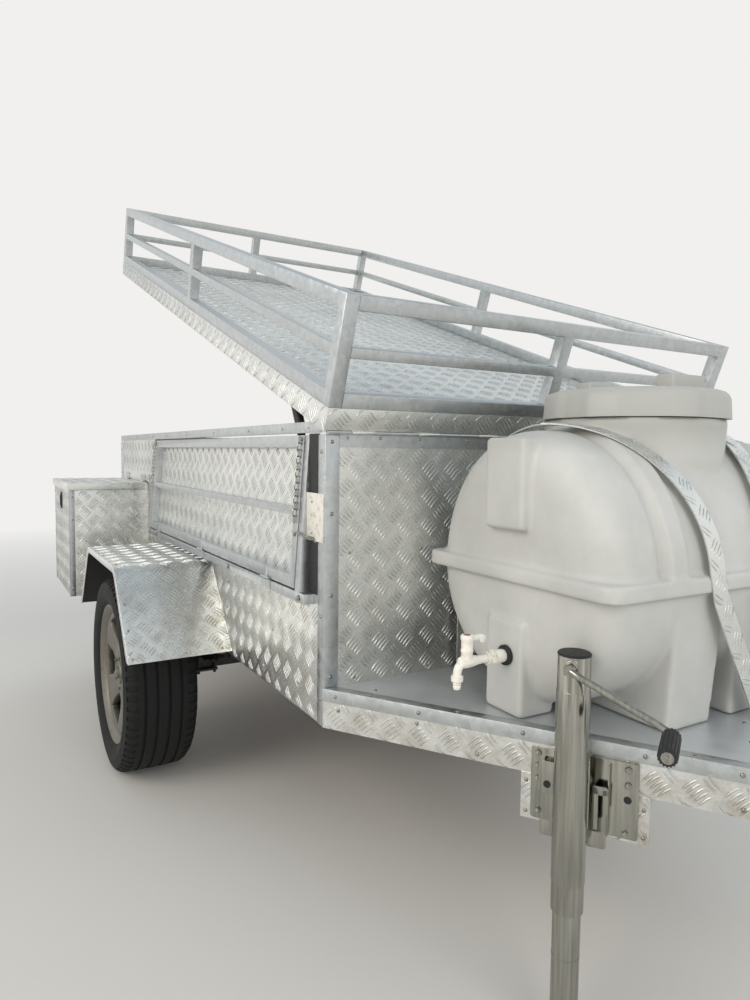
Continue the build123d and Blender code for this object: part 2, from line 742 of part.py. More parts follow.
# Strips and jambs round the hatches
jamb = 25.0
strip_top = hatch_bottom - 5.0
lean = atan2(hatch_proud, hatch_top - hatch_bottom)
hatch_rise = (hatch_top - hatch_bottom) / cos(lean)
hatch_mid_x = (hatch_x0 + hatch_x1) / 2
with BuildPart() as hatch_surrounds:
    for name, s in sides:
        block(hatch_x0 - swing_gap - jamb, hatch_x1 + swing_gap + 55, s * half_width, s * (half_width + hatch_proud),
              strip_top - strip_height, strip_top)
        for x in (hatch_x0 - swing_gap - jamb, hatch_x1 + swing_gap):
            with BuildSketch(Plane.YZ.offset(x)):
                with BuildLine():
                    Polyline((s * half_width, strip_top), (s * (half_width + hatch_proud), strip_top),
                             (s * half_width, hatch_top), close=True)
                make_face()
            extrude(amount=jamb)
save(hatch_surrounds.part, "hatch_surrounds")


def hatch_plane(s):
    """Plane on a hatch's outer face: X along it, Y up it and Z out of it, from the middle of its lower edge."""
    return Plane(origin=(hatch_mid_x, s * (half_width + hatch_proud), hatch_bottom), x_dir=(-s, 0, 0),
                 z_dir=(0, s * cos(lean), sin(lean)))


hatch_pin_r = 4.0
hatch_hinge_at = (-600.0, 0.0, 600.0)
hatch_hinge_length = 60.0
chain_r = 3.0
chain_from = 0.42
for name, s in sides:
    with BuildPart(hatch_plane(s)) as hatch_frame:
        with BuildSketch(hatch_plane(s)):
            with Locations((0, hatch_rise / 2)):
                Rectangle(hatch_length, hatch_rise)
                Rectangle(hatch_length - 2 * hatch_tube, hatch_rise - 2 * hatch_tube, mode=Mode.SUBTRACT)
        extrude(amount=-hatch_tube)
        with BuildSketch(hatch_plane(s)):
            with Locations((0, hatch_rise / 2)):
                Rectangle(hatch_length - 2 * hatch_tube, hatch_mid_tube)
        extrude(amount=-hatch_tube + sheet)
        for x in hatch_hinge_at:
            with Locations((x, 0, hatch_pin_r)):
                Cylinder(hatch_pin_r, hatch_hinge_length / 3, rotation=(0, 90, 0))
            with Locations((x, hatch_tube / 2 - 2, 1)):
                Box(hatch_hinge_length / 3, hatch_tube - 4, 2)
    save(hatch_frame.part, "hatch_frame_" + name)
    with BuildPart(hatch_plane(s)) as hatch_panel:
        with BuildSketch(hatch_plane(s).offset(sheet - hatch_tube)):
            with Locations((0, hatch_rise / 2)):
                Rectangle(hatch_length - 2 * hatch_tube, hatch_rise - 2 * hatch_tube)
        extrude(amount=-sheet)
    save(hatch_panel.part, "hatch_panel_" + name)
    with BuildPart(hatch_plane(s)) as hatch_chains:
        for x in (hatch_tube / 2 - hatch_length / 2, hatch_length / 2 - hatch_tube / 2):
            with Locations((x, hatch_rise * (1 + chain_from) / 2 - 8, chain_r + touch)):
                Cylinder(chain_r, hatch_rise * (1 - chain_from), rotation=(90, 0, 0))
    save(hatch_chains.part, "hatch_chains_" + name)


with BuildPart() as hatch_latches:
    for name, s in sides:
        block(wall_x - 86, wall_x - 35, s * half_width, s * (half_width + 7), deck_top + 352, deck_top + 455)
        rod(Vector(wall_x - 42, s * (half_width + 10), deck_top + 352),
            Vector(wall_x - 108, s * (half_width + 31), deck_top + 362), 4)
save(hatch_latches.part, "hatch_latches")

# Lid: a shallow tray hinged on the front wall, shown open
hinge_x = wall_x + hinge_out
hinge_z = wall_top - hinge_drop
o = radians(lid_open)
lid_plane = Plane(origin=(hinge_x, 0, hinge_z), x_dir=(cos(o), 0, -sin(o)), z_dir=(sin(o), 0, cos(o)))
lid_inner_y = half_width + lid_side_gap
lid_half_y = lid_inner_y + sheet
lid_back = -(hinge_out + box_length + lid_side_gap + sheet)
lid_front = sheet / 2
hinge_count = 7
hinge_pitch = box_width / hinge_count


def lid_block(x0, x1, y0, y1, z0, z1):
    """Add a box between two corners to a part that is built in the lid's own plane."""
    with Locations(((x0 + x1) / 2, (y0 + y1) / 2, (z0 + z1) / 2)):
        Box(abs(x1 - x0), abs(y1 - y0), abs(z1 - z0))


with BuildPart(lid_plane) as lid_tray:
    lid_block(lid_back, lid_front, -lid_half_y, lid_half_y, lid_skirt - sheet, lid_skirt)
    lid_block(lid_back, lid_front, -lid_half_y, -lid_inner_y, 0, lid_skirt)
    lid_block(lid_back, lid_front, lid_inner_y, lid_half_y, 0, lid_skirt)
    lid_block(lid_back, lid_back + sheet, -lid_half_y, lid_half_y, 0, lid_skirt)
    lid_block(lid_front - sheet, lid_front, -lid_half_y, lid_half_y, knuckle_r + 1, lid_skirt)
    for i in range(hinge_count):
        y = (i - (hinge_count - 1) / 2) * hinge_pitch
        if i in (0, hinge_count - 1):
            with Locations((0, y, 0)):
                Cylinder(knuckle_r, hinge_pitch / 3, rotation=(90, 0, 0))
        else:
            rod(lid_plane.from_local_coords(Vector(0, y - hinge_pitch / 6, 0)),
                lid_plane.from_local_coords(Vector(0, y + hinge_pitch / 6, 0)), knuckle_r, knuckle_sides)
        lid_block(-lid_front, lid_front, y - hinge_pitch / 6, y + hinge_pitch / 6, 0, knuckle_r + 2)
save(lid_tray.part, "lid_tray")


# Ribs across the lid's underside, with the brackets for the gas struts
rib_at = (-330.0, -850.0, -1390.0, -1930.0, -2340.0)
rib_width = 25.0
rib_depth = 28.0
rib_half_y = rail_outer - 10
strut_y = half_width - 48.0
strut_on_lid = (-330.0, 4.0)
with BuildPart(lid_plane) as lid_ribs:
    for x in rib_at:
        lid_block(x - rib_width / 2, x + rib_width / 2, -rib_half_y, rib_half_y, lid_skirt - sheet - rib_depth,
                  lid_skirt - sheet)
    for name, s in sides:
        y = s * (strut_y - 11)
        lid_block(strut_on_lid[0] - 12, strut_on_lid[0] + 12, y - s * 3, y, strut_on_lid[1] - 10,
                  lid_skirt - sheet - rib_depth)
        with Locations((strut_on_lid[0], s * (strut_y - 4), strut_on_lid[1])):
            Cylinder(3.5, 16, rotation=(90, 0, 0))
save(lid_ribs.part, "lid_ribs")

# Rack: rails and posts of square tube on the lid, as four sides
mid_z = lid_skirt + rack_height / 2
rail_rows = ((lid_skirt, rack_tube), (mid_z - rack_mid_tube / 2, rack_mid_tube),
             (lid_skirt + rack_height - rack_tube, rack_tube))
for name, s in sides:
    with BuildPart(lid_plane) as rack_side:
        y0 = s * lid_half_y
        for z, tube in rail_rows:
            lid_block(lid_back, lid_front, y0, y0 - s * tube, z, z + tube)
        for x in (lid_back + rack_tube / 2, (lid_back + lid_front) / 2, lid_front - rack_tube / 2):
            lid_block(x - rack_tube / 2, x + rack_tube / 2, y0, y0 - s * rack_tube, lid_skirt, lid_skirt + rack_height)
    save(rack_side.part, "rack_" + name)
for name, x0, t in (("front", lid_front, 1), ("rear", lid_back, -1)):
    with BuildPart(lid_plane) as rack_end:
        inner = lid_half_y - rack_tube
        for z, tube in rail_rows:
            lid_block(x0, x0 - t * tube, -inner, inner, z, z + tube)
        lid_block(x0, x0 - t * rack_tube, -rack_tube / 2, rack_tube / 2, lid_skirt, lid_skirt + rack_height)
    save(rack_end.part, "rack_" + name)

# Gas struts: the cylinder turns on the wall, the rod's eye sits round the lid's pin with room to drift
strut_foot = (wall_x - 70.0, 890.0)
strut_r = 10.0
strut_rod_r = 4.0
strut_body = 330.0
eye_clear = 9.5
eye_ring = 14.0
head = Vector(hinge_x, 0, hinge_z)
head += Vector(cos(o), 0, -sin(o)) * strut_on_lid[0] + Vector(sin(o), 0, cos(o)) * strut_on_lid[1]
foot = Vector(strut_foot[0], 0, strut_foot[1])
strut_length = (head - foot).length
strut_way = (head - foot) / strut_length
for name, s in sides:
    lower = foot + Vector(0, s * strut_y, 0)
    upper = head + Vector(0, s * strut_y, 0)
    with BuildPart() as strut_cylinder:
        rod(lower + strut_way * 8, lower + strut_way * strut_body, strut_r)
        with Locations(lower):
            Cylinder(11, 8, rotation=(90, 0, 0))
            Cylinder(4.3, 10, rotation=(90, 0, 0), mode=Mode.SUBTRACT)
        with BuildSketch(Plane(origin=lower + strut_way * 120, z_dir=strut_way)):
            Circle(strut_rod_r + 0.3)
        extrude(amount=strut_body, mode=Mode.SUBTRACT)
    save(strut_cylinder.part, "strut_cylinder_" + name)
    with BuildPart() as strut_rod:
        rod(lower + strut_way * (strut_body - 100), upper - strut_way * (eye_ring - 2), strut_rod_r)
        with Locations(upper):
            Cylinder(eye_ring, 6, rotation=(90, 0, 0))
            Cylinder(eye_clear, 8, rotation=(90, 0, 0), mode=Mode.SUBTRACT)
    save(strut_rod.part, "strut_rod_" + name)


# Tail lamps, and a small upright marker lamp at each rear corner
lamp_size = (140.0, 90.0)
lamp_y = 550.0
lamp_z = 565.0
marker_width = 30.0
marker_height = 80.0
marker_top = angle_top - 5
with BuildPart() as tail_lamps:
    for name, s in sides:
        block(rear_x - lamp_depth, rear_x, s * (lamp_y - lamp_size[0] / 2), s * (lamp_y + lamp_size[0] / 2),
              lamp_z - lamp_size[1] / 2, lamp_z + lamp_size[1] / 2)
        block(rear_x - lamp_depth, rear_x - sheet, s * (half_width - marker_width), s * half_width,
              marker_top - marker_height, marker_top)
save(tail_lamps.part, "tail_lamps")

# Fixed halves of the hinges, and the pins that the gas struts turn on
with BuildPart() as hinges:
    # Tailgate
    for y in gate_hinge_at:
        block(rear_x - sheet, rear_x, y - gate_hinge_length / 2, y + gate_hinge_length / 2,
              gate_bottom - 60, gate_bottom - gate_gap)
        for t in (-1, 1):
            y0 = y + t * gate_hinge_length / 3
            half = gate_hinge_length / 6 - 0.5
            rod(Vector(gate_pin_x, y0 - half, gate_pin_z), Vector(gate_pin_x, y0 + half, gate_pin_z), gate_pin_r,
                knuckle_sides)
            block(rear_x - sheet, rear_x, y0 - half, y0 + half, gate_pin_z - 2 * gate_gap, gate_pin_z)
    # Side boxes
    for name, s in sides:
        for x in (locker_x0 + 90, locker_x1 - 90):
            block(x - 45, x + 45, s * half_width, s * (half_width + 3), locker_pin_z, locker_pin_z + 30)
            for x0 in (x - 45, x + 15.5):
                x1 = x0 + 29.5
                rod(Vector(x0, s * locker_pin_y, locker_pin_z), Vector(x1, s * locker_pin_y, locker_pin_z),
                    locker_pin_r, knuckle_sides)
                block(x0, x1, s * half_width, s * locker_pin_y, locker_pin_z, locker_pin_z + 3)
    # Hatches
    for name, s in sides:
        pin_y = half_width + hatch_proud + hatch_pin_r * cos(lean)
        for x in hatch_hinge_at:
            block(hatch_mid_x + x - hatch_hinge_length / 2, hatch_mid_x + x + hatch_hinge_length / 2,
                  s * (half_width + hatch_proud), s * (half_width + hatch_proud + 2), strip_top - strip_height + 2,
                  strip_top - 2)
            for t in (-1, 1):
                x0 = hatch_mid_x + x + t * hatch_hinge_length / 3
                half = hatch_hinge_length / 6 - 0.5
                pin_z = hatch_bottom + hatch_pin_r * sin(lean)
                rod(Vector(x0 - half, s * pin_y, pin_z), Vector(x0 + half, s * pin_y, pin_z), hatch_pin_r,
                    knuckle_sides)
                block(x0 - half, x0 + half, s * (half_width + hatch_proud), s * (half_width + hatch_proud + 2),
                      strip_top - 3, hatch_bottom)
    # Lid
    block(wall_x, wall_x + sheet, -half_width, half_width, hinge_z - 4, hinge_z)
    block(wall_x, wall_x + sheet, angle_leg - half_width, half_width - angle_leg, hinge_z - 34, hinge_z - 4)
    for i in range(hinge_count):
        for t in (-1, 1):
            y = (i - (hinge_count - 1) / 2) * hinge_pitch + t * hinge_pitch / 3
            half = hinge_pitch / 6 - 0.5
            rod(Vector(hinge_x, y - half, hinge_z), Vector(hinge_x, y + half, hinge_z), knuckle_r, knuckle_sides)
            block(wall_x, hinge_x, y - half, y + half, hinge_z - 4, hinge_z)
    # Gas struts
    for name, s in sides:
        block(strut_foot[0] - 20, strut_foot[0] + 20, s * rail_outer, s * (rail_outer - 3), strut_foot[1] - 25,
              strut_foot[1] + 25)
        with Locations((strut_foot[0], s * (rail_outer + strut_y - 8) / 2, strut_foot[1])):
            Cylinder(4, rail_outer - strut_y + 8, rotation=(90, 0, 0))
save(hinges.part, "fixed_hinges")
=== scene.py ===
from contextlib import contextmanager
import json
import math

import bmesh
import bpy
from mathutils import Matrix, Vector

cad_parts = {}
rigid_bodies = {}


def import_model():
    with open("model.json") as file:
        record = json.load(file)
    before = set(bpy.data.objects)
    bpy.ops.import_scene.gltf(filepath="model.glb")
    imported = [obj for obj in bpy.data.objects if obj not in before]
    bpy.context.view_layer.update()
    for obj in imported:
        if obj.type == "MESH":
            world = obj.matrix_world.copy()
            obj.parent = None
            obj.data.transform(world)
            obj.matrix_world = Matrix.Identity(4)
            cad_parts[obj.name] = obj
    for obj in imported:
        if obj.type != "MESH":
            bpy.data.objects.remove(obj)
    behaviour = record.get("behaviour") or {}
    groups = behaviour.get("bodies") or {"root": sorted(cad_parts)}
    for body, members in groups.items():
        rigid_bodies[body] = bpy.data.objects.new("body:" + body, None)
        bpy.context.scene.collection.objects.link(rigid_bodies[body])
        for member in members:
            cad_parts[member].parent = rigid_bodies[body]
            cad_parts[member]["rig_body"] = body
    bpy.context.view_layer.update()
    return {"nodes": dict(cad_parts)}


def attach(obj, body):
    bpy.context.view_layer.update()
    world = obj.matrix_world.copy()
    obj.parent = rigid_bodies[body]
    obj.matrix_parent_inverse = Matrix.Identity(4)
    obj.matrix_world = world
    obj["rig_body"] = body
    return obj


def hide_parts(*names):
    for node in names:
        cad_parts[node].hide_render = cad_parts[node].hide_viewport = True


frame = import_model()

bl_info = {
    "name": "Box trailer looks",
    "version": (1, 0, 0),
    "blender": (4, 5, 0),
    "location": "View3D > Sidebar > Trailer",
    "description": "Dresses the packed box trailer with tread plate, rivets, tank, wheels, jack and finishes",
    "category": "Object",
}

MM = 0.001

# Places of the model in millimetres, as the part's source has them
WALL_X = 652.0
REAR_X = -1788.0
HALF_WIDTH = 660.0
BOX_BOTTOM = 497.0
DECK_TOP = 590.0
DRAWBAR_ANGLE = math.radians(33.0)
LID_OPEN = math.radians(20.0)
HINGE = Vector((660.0, 0.0, 1195.0))
LID_BACK = -2458.0
LID_FRONT = 1.5
LID_HALF = 670.0
LID_SKIRT = 58.0
SIDES = (("right", -1), ("left", 1))


# A finish is a material and a slot's name
TREAD = ("rolled_aluminium_tread_plate", "chequer")
GALVANISED = ("hot_dip_galvanised_steel", "galvanised")
ZINC = ("zinc_plated_steel", "galvanised")
ENAMEL = ("black_stove_enamel", "black_steel")
RUBBER = ("black_moulded_rubber", "grip_rubber")
TANK_PLASTIC = ("rotomoulded_polyethylene", "tank_plastic")
TAP_PLASTIC = ("pvc_white", "tap_plastic")
TYRE = ("tyre_rubber_worn", "tyre_rubber")
ALLOY = ("cast_alloy_dusty", "wheel_alloy")
RED_LENS = ("polycarbonate_red_lens", "lamp_plastic")
AMBER_LENS = ("polycarbonate_amber_lens", "lamp_plastic")
WHITE_PLATE = ("polycarbonate_white_plate", "chequer")


# Small tools

def linear(hex_colour):
    """Turn an sRGB hex colour into linear red, green, blue and alpha."""
    parts = [int(hex_colour[i:i + 2], 16) / 255 for i in (1, 3, 5)]
    return [p / 12.92 if p <= 0.04045 else ((p + 0.055) / 1.055) ** 2.4 for p in parts] + [1.0]


def deselect():
    """Leave edit mode and deselect every object."""
    if bpy.context.mode != "OBJECT":
        bpy.ops.object.mode_set(mode="OBJECT")
    bpy.ops.object.select_all(action="DESELECT")


def pick(obj):
    """Make one object the only selected and active one."""
    deselect()
    obj.select_set(True)
    bpy.context.view_layer.objects.active = obj
    return obj


@contextmanager
def editing(obj):
    """Edit the mesh of one object, with all of it selected."""
    pick(obj)
    bpy.ops.object.mode_set(mode="EDIT")
    bpy.ops.mesh.select_all(action="SELECT")
    yield
    bpy.ops.object.mode_set(mode="OBJECT")


def new_object(name, verts, faces):
    """Make a mesh object from points in metres and faces."""
    mesh = bpy.data.meshes.new(name)
    mesh.from_pydata([tuple(v) for v in verts], [], faces)
    mesh.update()
    obj = bpy.data.objects.new(name, mesh)
    bpy.context.scene.collection.objects.link(obj)
    return obj


def apply_place(obj):
    """Move an object's place, turn and scale into its mesh."""
    pick(obj)
    bpy.ops.object.transform_apply(location=True, rotation=True, scale=True)
    return obj


def apply_modifiers(obj):
    """Apply each modifier in its order."""
    pick(obj)
    for modifier in list(obj.modifiers):
        bpy.ops.object.modifier_apply(modifier=modifier.name)
    return obj


def join(objs, name):
    """Join several objects into the first and name it."""
    deselect()
    for obj in objs:
        obj.select_set(True)
    bpy.context.view_layer.objects.active = objs[0]
    if len(objs) > 1:
        bpy.ops.object.join()
    objs[0].name = name
    objs[0].data.name = name
    return objs[0]


def smooth(obj, degrees=35.0):
    """Shade an object smooth, with edges sharper than an angle left crisp."""
    pick(obj)
    bpy.ops.object.shade_smooth_by_angle(angle=math.radians(degrees))
    return obj


def bevel(obj, width, segments=2, degrees=35.0):
    """Round the sharp edges of an object by a width in millimetres."""
    modifier = obj.modifiers.new("Rounded edges", "BEVEL")
    modifier.width = width * MM
    modifier.segments = segments
    modifier.limit_method = "ANGLE"
    modifier.angle_limit = math.radians(degrees)
    modifier.harden_normals = False
    return apply_modifiers(obj)


def outward(obj):
    """Merge doubles and turn the faces outwards."""
    with editing(obj):
        bpy.ops.mesh.remove_doubles(threshold=0.00002)
        bpy.ops.mesh.normals_make_consistent(inside=False)
    return obj


def dress(obj, finish, body, *nodes):
    """Give a finished piece its finish, the body that it rides on and the nodes that it stands for."""
    apply_place(obj)
    obj.data.materials.clear()
    obj.data.materials.append(the_material(finish[0]))
    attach(obj, body)
    if nodes:
        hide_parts(*nodes)
    return obj


def node_copy(node, name, width):
    """Copy a CAD node, merge it into clean faces and round its edges by a width in millimetres."""
    source = frame["nodes"][node]
    obj = bpy.data.objects.new(name, source.data.copy())
    bpy.context.scene.collection.objects.link(obj)
    obj.data.name = name
    with editing(obj):
        bpy.ops.mesh.remove_doubles(threshold=0.00005)
        bpy.ops.mesh.dissolve_limited(angle_limit=math.radians(1.0))
    if width:
        bevel(obj, width)
    return smooth(obj)


# Materials

def wire(tree, node, **sources):
    """Link nodes or their sockets into a node, and return it.

    A socket goes by its name, with _ for a blank, or by _ and its number. A node stands for the first of its
    outputs that is in use.
    """
    for key, source in sources.items():
        if isinstance(source, bpy.types.Node):
            source = next(output for output in source.outputs if output.enabled)
        tree.links.new(source, node.inputs[int(key[1:]) if key[0] == "_" else key.replace("_", " ")])
    return node


def add(tree, kind, settings=None, **sources):
    """Add a node with its settings and links. A setting is a socket's value, a property or a ramp's stops."""
    node = tree.nodes.new("ShaderNode" + kind)
    for key, value in (settings or {}).items():
        if key == "stops":
            elements = node.color_ramp.elements
            while len(elements) < len(value):
                elements.new(0.5)
            for element, (at, colour) in zip(elements, value):
                element.position = at
                element.color = linear(colour)
        elif isinstance(key, int) or key in node.inputs:
            node.inputs[key].default_value = value
        else:
            setattr(node, key, value)
    return wire(tree, node, **sources)


def begin(name, **values):
    """Start a material: its tree, its shader with the values that are plain, and its Object coordinates."""
    made = bpy.data.materials.new(name)
    made.use_nodes = True
    tree = made.node_tree
    tree.nodes.clear()
    output = add(tree, "OutputMaterial")
    shader = add(tree, "BsdfPrincipled", {key.replace("_", " "): value for key, value in values.items()})
    wire(tree, output, Surface=shader)
    place = add(tree, "TexCoord").outputs["Object"]
    return made, tree, shader, place


def coat(name, spots, stops, rough, bumps, grain=None, metallic=0.0):
    """Make a plain finish of one noise, with a second one, the grain, if its bumps are finer than its spots.

    A noise is the size of its spots in millimetres, its detail, its roughness and, if it is drawn out, its
    stretch. The stops colour it, rough is the least and the most roughness, and bumps are the strength of the
    bumps and their height in millimetres.
    """
    made, tree, shader, place = begin(name, Metallic=metallic)
    noises = []
    for size, detail, share, *stretch in (spots, grain) if grain else (spots,):
        at = add(tree, "Mapping", {"Scale": stretch[0]}, Vector=place) if stretch else place
        settings = {"Scale": 1000 / size, "Detail": detail, "Roughness": share}
        noises.append(add(tree, "TexNoise", settings, Vector=at))
    least, most = rough
    strength, height = bumps
    wire(tree, shader,
         Base_Color=add(tree, "ValToRGB", {"stops": stops}, Fac=noises[0]),
         Roughness=add(tree, "MapRange", {"From Min": 0.3, "From Max": 0.7, "To Min": least, "To Max": most},
                       Value=noises[0]),
         Normal=add(tree, "Bump", {"Strength": strength, "Distance": height * MM}, Height=noises[-1]))
    return made


MAKERS = {}
MADE = {}


def material(name):
    """Keep the function that makes a material under the material's name."""
    def keep(make):
        MAKERS[name] = make
        return make
    return keep


def the_material(name):
    """Return a material, which is made when it is first asked for."""
    if name not in MADE:
        MADE[name] = MAKERS[name](name)
    return MADE[name]


@material("rolled_aluminium_tread_plate")
def tread_plate(name):
    """Five-bar aluminium plate as rolled: bright satin metal, with soft blotches and dust low down."""
    made, tree, shader, place = begin(name, Metallic=0.96)
    cloud = add(tree, "TexNoise", {"Scale": 1000 / 260, "Detail": 3.0, "Roughness": 0.55}, Vector=place)
    grain = add(tree, "TexNoise", {"Scale": 1000 / 6, "Detail": 5.0, "Roughness": 0.65}, Vector=place)
    speck = add(tree, "TexNoise", {"Scale": 1000 / 60, "Detail": 6.0, "Roughness": 0.7}, Vector=place)
    height = add(tree, "SeparateXYZ", Vector=place).outputs["Z"]
    low = add(tree, "MapRange", {"From Min": 0.85, "From Max": 0.45}, Value=height)
    spread = add(tree, "MapRange", {"From Min": 0.42, "From Max": 0.62, "To Max": 0.55}, Value=speck)
    dust = add(tree, "Math", {"operation": "MULTIPLY"}, _0=low, _1=spread)
    colour = add(tree, "ValToRGB", {"stops": ((0.3, "#DDDEDB"), (0.7, "#EDEEEB"))}, Fac=cloud)
    wire(tree, shader,
         Base_Color=add(tree, "Mix", {"data_type": "RGBA", 7: linear("#A89A86")}, _0=dust, _6=colour),
         Roughness=add(tree, "MapRange", {"From Min": 0.3, "From Max": 0.7, "To Min": 0.24, "To Max": 0.36},
                       Value=grain),
         Normal=add(tree, "Bump", {"Strength": 0.10, "Distance": 0.4 * MM}, Height=grain))
    return made


@material("hot_dip_galvanised_steel")
def galvanised(name):
    """Galvanised tube and strip: pale blue-grey zinc with crystals some 12 mm wide and dull patches."""
    made, tree, shader, place = begin(name, Metallic=1.0)
    warp = add(tree, "TexNoise", {"Scale": 60.0, "Detail": 2.0}, Vector=place).outputs["Color"]
    bent = add(tree, "Mix", {"data_type": "RGBA", "blend_type": "ADD", 0: 0.02}, _6=place, _7=warp)
    crystal = add(tree, "TexVoronoi", {"Scale": 1000 / 12.5}, Vector=bent).outputs["Color"]
    grey = add(tree, "SeparateColor", Color=crystal)
    patch = add(tree, "TexNoise", {"Scale": 1000 / 110, "Detail": 5.0, "Roughness": 0.6}, Vector=place)
    dull = add(tree, "MapRange", {"From Min": 0.54, "From Max": 0.7, "To Max": 0.35}, Value=patch)
    grain = add(tree, "TexNoise", {"Scale": 1000 / 3, "Detail": 4.0, "Roughness": 0.55}, Vector=place)
    colour = add(tree, "ValToRGB", {"stops": ((0.0, "#BFC3C4"), (0.5, "#C7CBCC"), (1.0, "#CFD3D4"))}, Fac=grey)
    wire(tree, shader,
         Base_Color=add(tree, "Mix", {"data_type": "RGBA", 7: linear("#AEAFAA")}, _0=dull, _6=colour),
         Roughness=add(tree, "MapRange", {"To Min": 0.32, "To Max": 0.44}, Value=grey),
         Normal=add(tree, "Bump", {"Strength": 0.08, "Distance": 0.3 * MM}, Height=grain))
    return made


@material("zinc_plated_steel")
def zinc(name):
    """Bright zinc plate on the jack and the coupling: smooth, faintly warm, drawn along the tube."""
    return coat(name, (7.0, 4.0, 0.5, (1.0, 1.0, 0.04)), ((0.3, "#8C8B82"), (0.7, "#B0AFA6")), (0.10, 0.20),
                (0.05, 0.3), metallic=1.0)


@material("mill_finish_aluminium_sheet")
def deck_sheet(name):
    """Plain sheet on the platform: pale grey, rubbed, with long faint scratches."""
    return coat(name, (120.0, 5.0, 0.6), ((0.3, "#C2C7CA"), (0.7, "#D6DADC")), (0.32, 0.45), (0.06, 0.3),
                (5.0, 3.0, 0.5, (0.05, 1.0, 1.0)), metallic=0.6)


@material("rotomoulded_polyethylene")
def polyethylene(name):
    """Rotomoulded tank: white, slightly waxy plastic, greyer at the neck, with an orange-peel skin and dust."""
    made, tree, shader, place = begin(name, Subsurface_Weight=0.08, Subsurface_Radius=(0.01, 0.01, 0.01),
                                      IOR=1.5)
    cloud = add(tree, "TexNoise", {"Scale": 1000 / 170, "Detail": 5.0, "Roughness": 0.6}, Vector=place)
    speck = add(tree, "TexNoise", {"Scale": 1000 / 14, "Detail": 6.0, "Roughness": 0.7}, Vector=place)
    peel = add(tree, "TexNoise", {"Scale": 1000 / 5, "Detail": 2.0, "Roughness": 0.55}, Vector=place)
    height = add(tree, "SeparateXYZ", Vector=place).outputs["Z"]
    upper = add(tree, "MapRange", {"From Min": 1.15, "From Max": 1.21, "To Max": 0.8}, Value=height)
    grime = add(tree, "MapRange", {"From Min": 0.56, "From Max": 0.72, "To Max": 0.25}, Value=speck)
    white = add(tree, "ValToRGB", {"stops": ((0.35, "#BCBCB8"), (0.65, "#C8C8C5"))}, Fac=cloud)
    shaded = add(tree, "Mix", {"data_type": "RGBA", 7: linear("#A9A9A4")}, _0=upper, _6=white)
    wire(tree, shader,
         Base_Color=add(tree, "Mix", {"data_type": "RGBA", 7: linear("#B5B1A6")}, _0=grime, _6=shaded),
         Roughness=add(tree, "MapRange", {"From Min": 0.3, "From Max": 0.7, "To Min": 0.42, "To Max": 0.55},
                       Value=cloud),
         Normal=add(tree, "Bump", {"Strength": 0.06, "Distance": 0.5 * MM}, Height=peel))
    return made


@material("pvc_white")
def pvc(name):
    """Injection-moulded white PVC of the tap, with a little dirt in random specks."""
    made, tree, shader, place = begin(name, Roughness=0.3, IOR=1.53)
    speck = add(tree, "TexNoise", {"Scale": 1000 / 9, "Detail": 5.0, "Roughness": 0.55}, Vector=place)
    dirt = add(tree, "MapRange", {"From Min": 0.52, "From Max": 0.7, "To Max": 0.5}, Value=speck)
    colours = {6: linear("#ECE8DF"), 7: linear("#C9BFAA")}
    wire(tree, shader, Base_Color=add(tree, "Mix", {"data_type": "RGBA", **colours}, _0=dirt))
    return made


@material("black_moulded_rubber")
def rubber(name):
    """Moulded black rubber: matt, slightly grey in soft patches."""
    return coat(name, (12.0, 4.0, 0.55), ((0.3, "#141415"), (0.75, "#262628")), (0.45, 0.65), (0.1, 0.2),
                (1.5, 2.0, 0.55))


@material("tyre_rubber_worn")
def tyre_rubber(name):
    """Worn tyre: near black with brown dust rubbed into it."""
    return coat(name, (40.0, 6.0, 0.7), ((0.35, "#0A0B0C"), (0.62, "#121314"), (0.85, "#2B2824")), (0.7, 0.9),
                (0.2, 0.4), (2.5, 3.0, 0.55))


@material("cast_alloy_dusty")
def cast_alloy(name):
    """Painted cast wheel under beige dust in random patches."""
    return coat(name, (30.0, 6.0, 0.65), ((0.3, "#706C63"), (0.55, "#86837B"), (0.8, "#6B6357")), (0.36, 0.6),
                (0.1, 0.3), (3.0, 3.0, 0.55), metallic=0.8)


@material("black_stove_enamel")
def black_paint(name):
    """Black paint on the frame, axle and strut bodies: thin and satin, dulled by dust."""
    return coat(name, (50.0, 5.0, 0.6), ((0.35, "#1A1B1C"), (0.75, "#3A3733")), (0.35, 0.65), (0.06, 0.2),
                (2.0, 2.0, 0.55))


def lens(name, colour):
    """Moulded lens of a tail lamp, glossy, with fine ribs behind its face."""
    made, tree, shader, place = begin(name, Roughness=0.12, IOR=1.58, Coat_Weight=0.5)
    ribs = add(tree, "TexWave", {"Scale": 60.0, "bands_direction": "Y"}, Vector=place).outputs["Fac"]
    light = linear(colour)
    shade = [c * 0.7 for c in light[:3]] + [1.0]
    wire(tree, shader,
         Base_Color=add(tree, "Mix", {"data_type": "RGBA", 6: light, 7: shade}, _0=ribs),
         Normal=add(tree, "Bump", {"Strength": 0.2, "Distance": 0.4 * MM}, Height=ribs))
    return made


@material("polycarbonate_red_lens")
def red_lens(name):
    """Red lens of the tail lamp and the red mark on the tap."""
    return lens(name, "#8E1413")


@material("polycarbonate_amber_lens")
def amber_lens(name):
    """Amber lens of the turn lamp."""
    return lens(name, "#C26A12")


